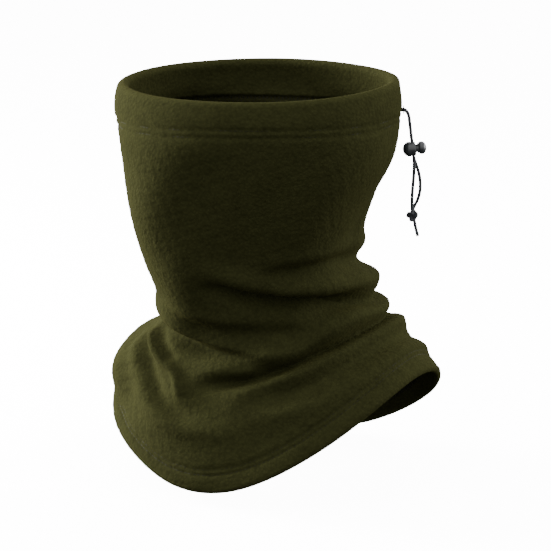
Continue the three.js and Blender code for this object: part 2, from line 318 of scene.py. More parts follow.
def link_math(
    tree: bpy.types.NodeTree, operation: str, *given: object, clamp: bool = False
) -> bpy.types.NodeSocket:
    """Adds a Math node.

    Args:
        tree: The tree that it goes in.
        operation: What it works out.
        given: Its inputs in order, each a socket or a number.
        clamp: Whether the result is kept from 0 to 1.

    Returns:
        The node's output.
    """
    node = tree.nodes.new("ShaderNodeMath")
    node.operation = operation
    node.use_clamp = clamp
    for entry, value in zip(node.inputs, given):
        if isinstance(value, bpy.types.NodeSocket):
            tree.links.new(value, entry)
        else:
            entry.default_value = value
    return node.outputs[0]


def link_noise(
    tree: bpy.types.NodeTree, place: bpy.types.NodeSocket, scale: float, detail: float
) -> bpy.types.NodeSocket:
    """Adds a Noise texture on a place, and returns its factor."""
    node = tree.nodes.new("ShaderNodeTexNoise")
    dial(node, Scale=scale, Detail=detail, Roughness=0.6)
    tree.links.new(place, node.inputs["Vector"])
    return node.outputs["Fac"]


def build_pile_group() -> bpy.types.NodeTree:
    """The pebbly pile of brushed fleece, in rounded clumps with fine fibres on them.

    Returns:
        A group that puts out a height and a shade from the place and the clumps' size. The shade is painted
        shade, darker in the hollows between clumps, mixed with a slow random tone.
    """
    warp_scale, warp_reach = 900.0, 0.0016
    fibre_scale, fibre_height = 3200.0, 0.35
    drift_scale, drift_height = 130.0, 0.25
    group = bpy.data.node_groups.new("fleece_pile", "ShaderNodeTree")
    sockets(group, "INPUT", ("Place", "Vector"), ("Clumps per Metre", "Float", 420.0))
    sockets(group, "OUTPUT", ("Height", "Float"), ("Shade", "Float"))
    add = group.nodes.new
    start, end = add("NodeGroupInput"), add("NodeGroupOutput")
    warp, push, clumps = add("ShaderNodeTexNoise"), add("ShaderNodeVectorMath"), add("ShaderNodeTexVoronoi")
    dial(warp, Scale=warp_scale, Detail=2.0)
    push.operation = "MULTIPLY_ADD"
    push.inputs[1].default_value = (warp_reach,) * 3
    clumps.feature = "SMOOTH_F1"
    dial(clumps, Smoothness=0.6)
    plug(group, (start, "Place", warp, "Vector"), (warp, "Color", push, 0), (start, "Place", push, 2),
         (push, 0, clumps, "Vector"), (start, "Clumps per Metre", clumps, "Scale"))
    dome = link_math(group, "SUBTRACT", 1.0, clumps.outputs["Distance"], clamp=True)
    fibres = link_noise(group, start.outputs["Place"], fibre_scale, 3.0)
    drift = link_noise(group, start.outputs["Place"], drift_scale, 2.0)
    height = link_math(group, "ADD", dome, link_math(group, "MULTIPLY", fibres, fibre_height))
    height = link_math(group, "ADD", height, link_math(group, "MULTIPLY", drift, drift_height))
    # Colour factor: lighter on the clumps' tops and darker in the hollows between them, which is painted
    # shade, plus the slow drift as random tone.
    shade = link_math(group, "MULTIPLY", link_math(group, "ADD", dome, drift), 0.5, clamp=True)
    group.links.new(height, end.inputs["Height"])
    group.links.new(shade, end.inputs["Shade"])
    return group


def build_yarn_group() -> bpy.types.NodeTree:
    """Yarns that cross as in a braid, on a UV map that runs around a cord and then along it.

    Returns:
        A group that puts out the yarns' height and a mask of the pale tracer yarns.
    """
    group = bpy.data.node_groups.new("braided_yarns", "ShaderNodeTree")
    sockets(group, "INPUT", ("UV", "Vector"), ("Around", "Float", 6.0), ("Along", "Float", 60.0))
    sockets(group, "OUTPUT", ("Height", "Float"), ("Tracer", "Float"))
    start = group.nodes.new("NodeGroupInput")
    end = group.nodes.new("NodeGroupOutput")
    split = group.nodes.new("ShaderNodeSeparateXYZ")
    group.links.new(start.outputs["UV"], split.inputs[0])
    around = link_math(group, "MULTIPLY", split.outputs["X"], start.outputs["Around"])
    along = link_math(group, "MULTIPLY", split.outputs["Y"], start.outputs["Along"])
    waves = []
    for operation in ("ADD", "SUBTRACT"):
        turn = link_math(group, "MULTIPLY", link_math(group, operation, around, along), 2 * math.pi)
        waves.append(link_math(group, "SINE", turn))
    height = link_math(group, "MAXIMUM", waves[0], waves[1])
    slow = link_math(group, "MULTIPLY", link_math(group, "ADD", around, along), math.pi / 3)
    tracer = link_math(group, "GREATER_THAN", link_math(group, "SINE", slow), 0.72)
    crossing = link_math(group, "GREATER_THAN", waves[0], waves[1])
    group.links.new(height, end.inputs["Height"])
    group.links.new(link_math(group, "MULTIPLY", tracer, crossing), end.inputs["Tracer"])
    return group


@dataclass(frozen=True)
class Workshop:
    """The shader groups and node trees that several pieces share."""

    pile: bpy.types.NodeTree
    yarns: bpy.types.NodeTree
    stitching: bpy.types.NodeTree
    thread_line: bpy.types.NodeTree


# ---------------------------------------------------------------------------- finishes


def new_material(name: str) -> tuple[bpy.types.Material, bpy.types.NodeTree, bpy.types.Node]:
    """Makes a material and returns it with its tree and its Principled BSDF."""
    material = bpy.data.materials.new(name)
    material.use_nodes = True
    tree = material.node_tree
    return material, tree, tree.nodes["Principled BSDF"]


def ramp(
    tree: bpy.types.NodeTree, factor: bpy.types.NodeSocket, low: Colour, high: Colour
) -> bpy.types.NodeSocket:
    """Adds a colour ramp between two colours, and returns its colour."""
    node = tree.nodes.new("ShaderNodeValToRGB")
    node.color_ramp.elements[0].color = (*low, 1.0)
    node.color_ramp.elements[1].color = (*high, 1.0)
    tree.links.new(factor, node.inputs["Fac"])
    return node.outputs["Color"]


def bump(
    tree: bpy.types.NodeTree, shader: bpy.types.Node, height: bpy.types.NodeSocket,
    distance: float, strength: float,
) -> None:
    """Feeds a height through a Bump node to the shader's normal."""
    node = tree.nodes.new("ShaderNodeBump")
    dial(node, Distance=distance, Strength=strength)
    tree.links.new(height, node.inputs["Height"])
    tree.links.new(node.outputs["Normal"], shader.inputs["Normal"])


@dataclass(frozen=True)
class FleeceFinish:
    """Matt brushed polyester with a pebbly pile."""

    name: str = "olive_fleece"
    # dark is the painted shade in the pile's hollows and light the clumps' tops; the slow random tone runs
    # between them too.
    dark: Colour = (0.0100, 0.0104, 0.0038)
    light: Colour = (0.0250, 0.0260, 0.0088)
    clumps_per_metre: float = 540.0
    sheen: Colour = (0.55, 0.52, 0.14)
    pile_height: float = 0.55 * MM
    bump_strength: float = 0.75

    def material(self, shop: Workshop) -> bpy.types.Material:
        """Builds the material on object coordinates.

        Args:
            shop: The shared shader groups.

        Returns:
            The material.
        """
        material, tree, shader = new_material(self.name)
        place = tree.nodes.new("ShaderNodeTexCoord")
        pile = tree.nodes.new("ShaderNodeGroup")
        pile.node_tree = shop.pile
        pile.inputs["Clumps per Metre"].default_value = self.clumps_per_metre
        tree.links.new(place.outputs["Object"], pile.inputs["Place"])
        # Base colour follows the pile's shade: painted shade in the hollows between clumps, plus slow random
        # tone.
        colour = ramp(tree, pile.outputs["Shade"], self.dark, self.light)
        tree.links.new(colour, shader.inputs["Base Color"])
        dial(shader, Roughness=0.95, Specular_IOR_Level=0.006, Sheen_Weight=0.03, Sheen_Roughness=0.5,
             Sheen_Tint=(*self.sheen, 1.0))
        bump(tree, shader, pile.outputs["Height"], self.pile_height, self.bump_strength)
        return material


@dataclass(frozen=True)
class ThreadFinish:
    """Twisted polyester sewing thread."""

    name: str = "olive_thread"
    dark: Colour = (0.0040, 0.0039, 0.0008)
    light: Colour = (0.0100, 0.0098, 0.0020)

    def material(self) -> bpy.types.Material:
        """Builds the material, with a fine twist on object coordinates."""
        material, tree, shader = new_material(self.name)
        place = tree.nodes.new("ShaderNodeTexCoord")
        twist = link_noise(tree, place.outputs["Object"], 5200.0, 2.0)
        tree.links.new(ramp(tree, twist, self.dark, self.light), shader.inputs["Base Color"])
        dial(shader, Roughness=0.8, Specular_IOR_Level=0.2)
        bump(tree, shader, twist, 0.06 * MM, 0.6)
        return material


@dataclass(frozen=True)
class BraidFinish:
    """Braided elastic cord, blue-black with pale tracer flecks."""

    name: str = "elastic_braid"
    base: Colour = (0.012, 0.014, 0.017)
    tracer: Colour = (0.05, 0.054, 0.06)
    yarns_around: float = 6.0
    yarns_per_metre: float = 900.0

    def material(self, shop: Workshop, length: float) -> bpy.types.Material:
        """Builds the material on the cord's own UV map.

        Args:
            shop: The shared shader groups.
            length: The cord's length, in metres.

        Returns:
            The material.
        """
        material, tree, shader = new_material(self.name)
        place = tree.nodes.new("ShaderNodeTexCoord")
        yarns = tree.nodes.new("ShaderNodeGroup")
        yarns.node_tree = shop.yarns
        dial(yarns, Around=self.yarns_around, Along=round(self.yarns_per_metre * length))
        tree.links.new(place.outputs["UV"], yarns.inputs["UV"])
        colour = ramp(tree, yarns.outputs["Tracer"], self.base, self.tracer)
        tree.links.new(colour, shader.inputs["Base Color"])
        dial(shader, Roughness=0.75, Specular_IOR_Level=0.25, Sheen_Weight=0.05)
        bump(tree, shader, yarns.outputs["Height"], 0.12 * MM, 0.8)
        return material


@dataclass(frozen=True)
class PlasticFinish:
    """Black moulded acetal with a fine grain, polished by handling."""

    name: str = "black_acetal"
    dark: Colour = (0.012, 0.014, 0.015)
    light: Colour = (0.026, 0.029, 0.031)

    def material(self) -> bpy.types.Material:
        """Builds the material on object coordinates."""
        material, tree, shader = new_material(self.name)
        place = tree.nodes.new("ShaderNodeTexCoord")
        grain = link_noise(tree, place.outputs["Object"], 2600.0, 4.0)
        wear = link_noise(tree, place.outputs["Object"], 320.0, 3.0)
        tree.links.new(ramp(tree, wear, self.dark, self.light), shader.inputs["Base Color"])
        rough = link_math(tree, "MULTIPLY_ADD", wear, 0.25, 0.22)
        tree.links.new(rough, shader.inputs["Roughness"])
        bump(tree, shader, grain, 0.03 * MM, 0.35)
        return material


@dataclass(frozen=True)
class WireFinish:
    """Bright drawn spring wire."""

    name: str = "spring_wire"
    colour: Colour = (0.62, 0.63, 0.65)

    def material(self) -> bpy.types.Material:
        """Builds the material, with faint drawing marks."""
        material, tree, shader = new_material(self.name)
        place = tree.nodes.new("ShaderNodeTexCoord")
        marks = link_noise(tree, place.outputs["Object"], 4000.0, 2.0)
        dial(shader, Metallic=1.0, Roughness=0.28)
        darker = tuple(0.7 * c for c in self.colour)
        tree.links.new(ramp(tree, marks, darker, self.colour), shader.inputs["Base Color"])
        return material


# ---------------------------------------------------------------------------- geometry node trees


def node_input(tree: bpy.types.NodeTree, name: str) -> str:
    """The identifier of a tree's named input."""
    return next(
        item.identifier
        for item in tree.interface.items_tree
        if item.item_type == "SOCKET" and item.in_out == "INPUT" and item.name == name
    )


def build_stitching_tree() -> bpy.types.NodeTree:
    """Single stitches along a path, each leaning by an angle about the cloth's normal.

    The path is a mesh of edges whose points carry the cloth's normal in surface_normal.

    Returns:
        The tree, with inputs for the stitches' sizes and thread.
    """
    tree = bpy.data.node_groups.new("stitching", "GeometryNodeTree")
    sockets(tree, "INPUT", ("Geometry", "Geometry"), ("Pitch", "Float", 3.0 * MM),
            ("Stitch Length", "Float", 2.4 * MM), ("Thread Thickness", "Float", 0.5 * MM),
            ("Lean", "Float", 0.0), ("Unevenness", "Float", 0.05), ("Thread", "Material"))
    sockets(tree, "OUTPUT", ("Geometry", "Geometry"))
    add = tree.nodes.new
    start, end = add("NodeGroupInput"), add("NodeGroupOutput")
    curve = add("GeometryNodeMeshToCurve")
    resample = add("GeometryNodeResampleCurve")
    resample.mode = "LENGTH"
    points = add("GeometryNodeCurveToPoints")
    points.mode = "EVALUATED"
    normal = add("GeometryNodeInputNamedAttribute")
    normal.data_type = "FLOAT_VECTOR"
    dial(normal, Name="surface_normal")
    along, upright = (add("FunctionNodeAlignRotationToVector") for _ in range(2))
    along.axis = "Z"
    upright.axis, upright.pivot_axis = "X", "Z"
    jitter = add("FunctionNodeRandomValue")
    jitter.data_type = "FLOAT"
    dial(jitter, Seed=7)
    lean, negative = add("ShaderNodeMath"), add("ShaderNodeMath")
    lean.operation, negative.operation = "ADD", "MULTIPLY"
    negative.inputs[1].default_value = -1.0
    turn = add("FunctionNodeAxisAngleToRotation")
    dial(turn, Axis=(1.0, 0.0, 0.0))
    rotate = add("FunctionNodeRotateRotation")
    rotate.rotation_space = "LOCAL"
    body = add("GeometryNodeMeshUVSphere")
    dial(body, Segments=8, Rings=6, Radius=0.5)
    size = add("ShaderNodeCombineXYZ")
    place = add("GeometryNodeInstanceOnPoints")
    realize, dress = add("GeometryNodeRealizeInstances"), add("GeometryNodeSetMaterial")
    plug(tree, (start, "Geometry", curve, "Mesh"), (curve, "Curve", resample, "Curve"),
         (start, "Pitch", resample, "Length"), (resample, "Curve", points, "Curve"),
         (points, "Tangent", along, "Vector"), (along, "Rotation", upright, "Rotation"),
         (normal, "Attribute", upright, "Vector"), (start, "Unevenness", negative, 0),
         (negative, 0, jitter, 2), (start, "Unevenness", jitter, 3), (start, "Lean", lean, 0),
         (jitter, 1, lean, 1), (lean, 0, turn, "Angle"), (upright, "Rotation", rotate, "Rotation"),
         (turn, "Rotation", rotate, "Rotate By"), (start, "Thread Thickness", size, "X"),
         (start, "Thread Thickness", size, "Y"), (start, "Stitch Length", size, "Z"),
         (points, "Points", place, "Points"), (body, "Mesh", place, "Instance"),
         (rotate, "Rotation", place, "Rotation"), (size, "Vector", place, "Scale"),
         (place, "Instances", realize, "Geometry"), (realize, "Geometry", dress, "Geometry"),
         (start, "Thread", dress, "Material"), (dress, "Geometry", end, "Geometry"))
    return tree


def build_thread_line_tree() -> bpy.types.NodeTree:
    """One thread or wire that follows a path of edges.

    Returns:
        The tree, with inputs for the thickness, the sides and the material.
    """
    tree = bpy.data.node_groups.new("thread_line", "GeometryNodeTree")
    sockets(tree, "INPUT", ("Geometry", "Geometry"), ("Thickness", "Float", 0.5 * MM),
            ("Sides", "Int", 6), ("Thread", "Material"))
    sockets(tree, "OUTPUT", ("Geometry", "Geometry"))
    add = tree.nodes.new
    start, end = add("NodeGroupInput"), add("NodeGroupOutput")
    curve, circle = add("GeometryNodeMeshToCurve"), add("GeometryNodeCurvePrimitiveCircle")
    circle.mode = "RADIUS"
    half, sweep = add("ShaderNodeMath"), add("GeometryNodeCurveToMesh")
    half.operation = "MULTIPLY"
    half.inputs[1].default_value = 0.5
    dial(sweep, Fill_Caps=True)
    realize, dress = add("GeometryNodeRealizeInstances"), add("GeometryNodeSetMaterial")
    plug(tree, (start, "Geometry", curve, "Mesh"), (start, "Thickness", half, 0),
         (half, 0, circle, "Radius"), (start, "Sides", circle, "Resolution"),
         (curve, "Curve", sweep, "Curve"), (circle, "Curve", sweep, "Profile Curve"),
         (sweep, "Mesh", realize, "Geometry"), (realize, "Geometry", dress, "Geometry"),
         (start, "Thread", dress, "Material"), (dress, "Geometry", end, "Geometry"))
    return tree


def path_mesh(points: Array, closed: bool, normals: Array | None = None) -> bpy.types.Mesh:
    """Makes a mesh of edges for a node tree to follow.

    Args:
        points: The path's points, in metres.
        closed: Whether the last point joins the first.
        normals: The cloth's normal at each point, if the tree reads it.

    Returns:
        The mesh, with surface_normal on its points if normals are given.
    """
    count = len(points)
    edges = [(k, k + 1) for k in range(count - 1)] + ([(count - 1, 0)] if closed else [])
    mesh = bpy.data.meshes.new("path")
    mesh.from_pydata([tuple(p) for p in points], edges, [])
    if normals is not None:
        layer = mesh.attributes.new("surface_normal", "FLOAT_VECTOR", "POINT")
        layer.data.foreach_set("vector", normals.reshape(-1).astype(np.float32))
    return mesh


def grow(
    name: str, path: bpy.types.Mesh, tree: bpy.types.NodeTree, values: dict[str, object]
) -> bpy.types.Object:
    """Runs a node tree on a path and keeps the result as a plain mesh.

    Args:
        name: The new piece's name.
        path: The mesh that the tree starts from.
        tree: The geometry node tree.
        values: The tree's inputs, by name.

    Returns:
        The finished piece, with no modifier left.
    """
    carrier = bpy.data.objects.new(name + "_path", path)
    bpy.context.scene.collection.objects.link(carrier)
    modifier = carrier.modifiers.new("nodes", "NODES")
    modifier.node_group = tree
    for key, value in values.items():
        modifier[node_input(tree, key)] = value
    carrier.update_tag()
    mesh = applied_mesh(carrier)
    bpy.data.objects.remove(carrier)
    return make_object(name, mesh, None)


# ---------------------------------------------------------------------------- the cloth's surface


class FoldKind(Enum):
    """How a fold in the cloth lies."""

    TUCK = "tuck"
    VALLEY = "valley"
    RIDGE = "ridge"


@dataclass(frozen=True)
class Fold:
    """One fold along the cloth.

    Its route is a list of [degrees from the front towards the wearer's left, guide row].
    """

    kind: FoldKind
    route: Rows
    depth: float
    width: float
    lap: float = 0.0

    def height(self, across: Array) -> Array:
        """How far the cloth stands out at a distance below the fold's route."""
        w = self.width
        if self.kind is FoldKind.RIDGE:
            return self.depth * bell(across, w)
        if self.kind is FoldKind.VALLEY:
            lips = bell(across - 1.7 * w, 0.9 * w) + bell(across + 1.7 * w, 0.9 * w)
            return self.depth * (0.3 * lips - bell(across, w))
        below = across + 0.8 * self.lap - 0.3 * w
        return self.depth * (0.5 * bell(below + 1.3 * w, 0.8 * w) - 1.15 * bell(below, 0.68 * w))

    def slide(self, across: Array) -> Array:
        """How far the cloth slips down over the fold, at a distance below its route."""
        return self.lap * bell(across + 0.8 * self.lap + 0.5 * self.width, 0.75 * self.width)


@dataclass
class GaiterForm:
    """The tube's outer face, hung on a guide at each side, with its folds pressed into it.

    A guide's rows are [reach from the axis, height] in millimetres.
    """

    front: Rows = ((100, 132), (104, 109), (101, 84), (95, 54), (86, 25), (74, -2), (67, -20),
                   (70, -40), (78, -64), (86, -93), (90, -109))
    left: Rows = ((85, 135), (87, 112), (83, 88), (71, 62), (62, 40), (59, 20), (60, 6), (70, -8),
                  (82, -20), (93, -31), (105, -43))
    back: Rows = ((50, 132), (53, 109), (53, 88), (50, 64), (47, 42), (48, 24), (50, 8), (57, -14),
                  (70, -50), (87, -96), (92, -112))
    right: Rows = ((84, 131), (86, 108), (83, 84), (80, 56), (74, 28), (68, 4), (66, -14),
                   (79, -32), (92, -48), (97, -60), (101, -75))
    squareness: float = 2.2
    crest_span: float = 23 * MM
    hem_span: float = 17 * MM
    corner: float = 2.7 * MM
    casing_rows: tuple[float, float] = (21.8 * MM, 25.2 * MM)
    casing_lifts: tuple[float, float] = (5.4 * MM, 4.6 * MM)
    hem_rows: tuple[float, float] = (15 * MM, 12 * MM)
    groove_depth: float = 0.95 * MM
    exit_degrees: float = 112.0
    folds: tuple[Fold, ...] = ()
    columns: int = 288
    rows: int = 361
    last_row: int = 10
    points: Array = field(init=False)
    normals: Array = field(init=False)

    def below_crest(self, distance: Array | float) -> Array | float:
        """The row at a distance below the crest, in metres."""
        return distance / self.crest_span

    def above_hem(self, distance: Array | float) -> Array | float:
        """The row at a distance above the hem's edge, in metres."""
        return self.last_row - distance / self.hem_span

    def smooth_point(self, u: Array, v: Array) -> Array:
        """Points of the smooth tube, as the CAD part has it.

        Args:
            u: Angles from the front, in radians.
            v: Guide rows.

        Returns:
            One point a row, in metres.
        """
        sides = [spline(np.array(side, float) * MM, v) for side in
                 (self.front, self.left, self.back, self.right)]
        reach, height = np.stack(sides).transpose(2, 0, 1)
        half_width, half_depth = (reach[1] + reach[3]) / 2, (reach[0] + reach[2]) / 2
        power = self.squareness
        radius = (np.abs(np.sin(u) / half_width) ** power
                  + np.abs(np.cos(u) / half_depth) ** power) ** (-1 / power)
        z = (height.mean(axis=0) + (height[0] - height[2]) / 2 * np.cos(u)
             + (height[1] - height[3]) / 2 * np.sin(u)
             + (height[0] + height[2] - height[1] - height[3]) / 4 * np.cos(2 * u))
        x = (reach[1] - reach[3]) / 2 + radius * np.sin(u)
        y = (reach[2] - reach[0]) / 2 - radius * np.cos(u)
        return np.stack([x, y, z], axis=-1)

    def smooth_normal(self, u: Array, v: Array) -> Array:
        """Outward normals of the smooth tube."""
        step = 0.01
        low, high = np.maximum(v - step, 0.0), np.minimum(v + step, self.last_row)
        along = self.smooth_point(u, high) - self.smooth_point(u, low)
        around = self.smooth_point(u + step, v) - self.smooth_point(u - step, v)
        return unit(np.cross(along, around))

    def press_folds(self) -> None:
        """Samples the outer face on a grid and presses the folds into it."""
        u, v = np.meshgrid(2 * math.pi * np.arange(self.columns) / self.columns,
                           np.linspace(0, self.last_row, self.rows))
        flat_u, flat_v = u.ravel(), v.ravel()
        smooth = self.smooth_point(flat_u, flat_v)
        normal = self.smooth_normal(flat_u, flat_v)
        step = 0.01
        down = unit(self.smooth_point(flat_u, flat_v + step) - self.smooth_point(flat_u, flat_v - step))
        height = self.wobble(flat_u, flat_v) + self.seam_pull(flat_u, flat_v)
        slip = np.zeros_like(height)
        for fold in self.folds:
            across, taper = self.reach_of(fold, smooth)
            height += taper * fold.height(across)
            slip += taper * fold.slide(across)
        calm = smooth_step(0.6, 1.5, flat_v)
        height = height * calm + self.puff(flat_u, flat_v)
        height -= self.draw_in(flat_u, flat_v)
        slip = slip * calm + self.let_down(flat_u, flat_v)
        moved = smooth + normal * height[:, None] + down * slip[:, None]
        self.points = moved.reshape(self.rows, self.columns, 3)
        along = np.gradient(self.points, axis=0)
        around = np.roll(self.points, -1, axis=1) - np.roll(self.points, 1, axis=1)
        normals = np.cross(along, around)
        for _ in range(4):
            normals[1:-1] = (normals[:-2] + 2 * normals[1:-1] + normals[2:]) / 4
        hems = np.maximum(1 - smooth_step(1.3, 1.9, v), smooth_step(8.3, 8.8, v))[..., None]
        plain = normal.reshape(self.points.shape)
        self.normals = unit(unit(normals) * (1 - hems) + plain * hems)

    def reach_of(self, fold: Fold, places: Array) -> tuple[Array, Array]:
        """Finds how far each place is below a fold's route, and how strong the fold is there.

        Args:
            fold: The fold.
            places: Points of the smooth tube.

        Returns:
            Distances below the route, negative above it, and strengths from 0 to 1.
        """
        route = spline(np.array(fold.route, float), np.linspace(0, len(fold.route) - 1, 90))
        u, v = np.radians(route[:, 0]), route[:, 1]
        line = self.smooth_point(u, v)
        tangent = unit(np.gradient(line, axis=0))
        down = self.smooth_point(u, v + 0.05) - self.smooth_point(u, v - 0.05)
        down = unit(down - tangent * np.sum(down * tangent, axis=1, keepdims=True))
        square = (np.sum(places**2, axis=1)[:, None] + np.sum(line**2, axis=1)[None]
                  - 2 * places @ line.T)
        nearest = np.argmin(square, axis=1)
        offset = places - line[nearest]
        side = np.sign(np.sum(offset * down[nearest], axis=1))
        share = nearest / (len(line) - 1)
        taper = smooth_step(0.0, 0.22, share) * smooth_step(0.0, 0.22, 1 - share)
        return side * np.linalg.norm(offset, axis=1), taper

    def near(self, u: Array, angle: float, spread: float) -> Array:
        """How near each angle is to one in degrees, as a bell of that spread."""
        return bell(np.angle(np.exp(1j * (u - math.radians(angle)))), math.radians(spread))

    def let_down(self, u: Array, v: Array) -> Array:
        """How far the cloth is let down: at the hem behind the wearer's left, not at the nape."""
        hem = (4.5 * self.near(u, 140, 26) - 2.5 * self.near(u, 76, 22)) * smooth_step(7.6, 10.0, v)
        nape = 2.2 * self.near(u, 190, 65) * (1 - smooth_step(0.3, 1.8, v))
        return (hem - nape) * MM

    def draw_in(self, u: Array, v: Array) -> Array:
        """How far the flare's left tip is drawn in."""
        return 3.0 * MM * self.near(u, 112, 18) * smooth_step(8.2, 9.6, v)

    def wobble(self, u: Array, v: Array) -> Array:
        """The slow unevenness of limp cloth, and its soft upright corner."""
        slow = (1.1 * np.sin(3 * u + 0.9 * v + 0.6) * np.sin(0.9 * v + 0.4)
                + 0.7 * np.sin(5 * u - 1.3 * v + 2.1) + 0.35 * np.sin(9 * u + 2.3 * v))
        small = 0.14 * np.sin(41 * u + 9 * v) * np.sin(23 * u - 17 * v + 1.0)
        small += 0.12 * np.sin(67 * u - 29 * v + 0.5) * np.sin(31 * u + 37 * v)
        corner = np.cos(4 * (u + math.radians(28))) * (1 - smooth_step(4.0, 6.5, v))
        return (slow + small) * MM + self.corner * corner

    def casing_row(self, u: Array, which: int) -> Array:
        """How far below the crest a stitch row of the casing lies: 0 is the upper one."""
        return self.casing_rows[which] - self.casing_lifts[which] * self.near(u, 18, 60)

    def seam_pull(self, u: Array, v: Array) -> Array:
        """The groove that the back seam draws in."""
        across = np.angle(np.exp(1j * (u - math.pi))) * 70 * MM
        return -1.6 * MM * bell(across, 3.2 * MM) * smooth_step(0.9, 1.2, v)

    def puff(self, u: Array, v: Array) -> Array:
        """Grooves at the stitch rows, with puckers along them, and the full casing and hem."""
        drop, rise = v * self.crest_span, (self.last_row - v) * self.hem_span
        first, second = self.casing_row(u, 0), self.casing_row(u, 1)
        near_exit = self.near(u, self.exit_degrees, 7)
        pucker = 0.5 + 0.5 * np.sin(47 * u + 3.1 * np.sin(5 * u + 1) + 2.3 * np.sin(3 * u))
        patch = 0.5 + 0.5 * np.sin(4 * u + 0.7) * np.sin(7 * u + 2.0)
        depth = self.groove_depth + 0.35 * MM * pucker * patch
        dents = -depth * (bell(drop - first, 1.0 * MM) + bell(drop - second, 1.0 * MM))
        dents -= depth * sum(bell(rise - row, 0.95 * MM) for row in self.hem_rows)
        ripple = 0.18 * MM * (pucker - 0.5) * patch * bell(drop - 18 * MM, 4 * MM)
        full = 0.8 * MM * bell(drop - 9 * MM, 7 * MM) + 0.5 * MM * bell(rise - 6 * MM, 4.5 * MM)
        wave = 0.9 * MM * np.sin(4 * u + 1.1) * (1 - smooth_step(0.3, 2.0, v))
        return dents + (ripple + full + wave) * (1 - near_exit)

    def ring(self, row: Array | float, depth: Array | float) -> tuple[Array, Array]:
        """A ring of points around the tube, under the outer face.

        Args:
            row: The guide row, one for all or one for each column.
            depth: How far under the outer face, in metres.

        Returns:
            The points and the outward normals, one for each column.
        """
        place = np.clip(np.broadcast_to(row, self.columns) / self.last_row, 0, 1) * (self.rows - 1)
        low = np.minimum(place.astype(int), self.rows - 2)
        t = (place - low)[:, None]
        column = np.arange(self.columns)
        normal = unit((1 - t) * self.normals[low, column] + t * self.normals[low + 1, column])
        point = (1 - t) * self.points[low, column] + t * self.points[low + 1, column]
        return point - normal * np.broadcast_to(depth, self.columns)[:, None], normal

    def angles(self) -> Array:
        """The columns' angles from the front, in radians."""
        return 2 * math.pi * np.arange(self.columns) / self.columns


# ---------------------------------------------------------------------------- the fleece


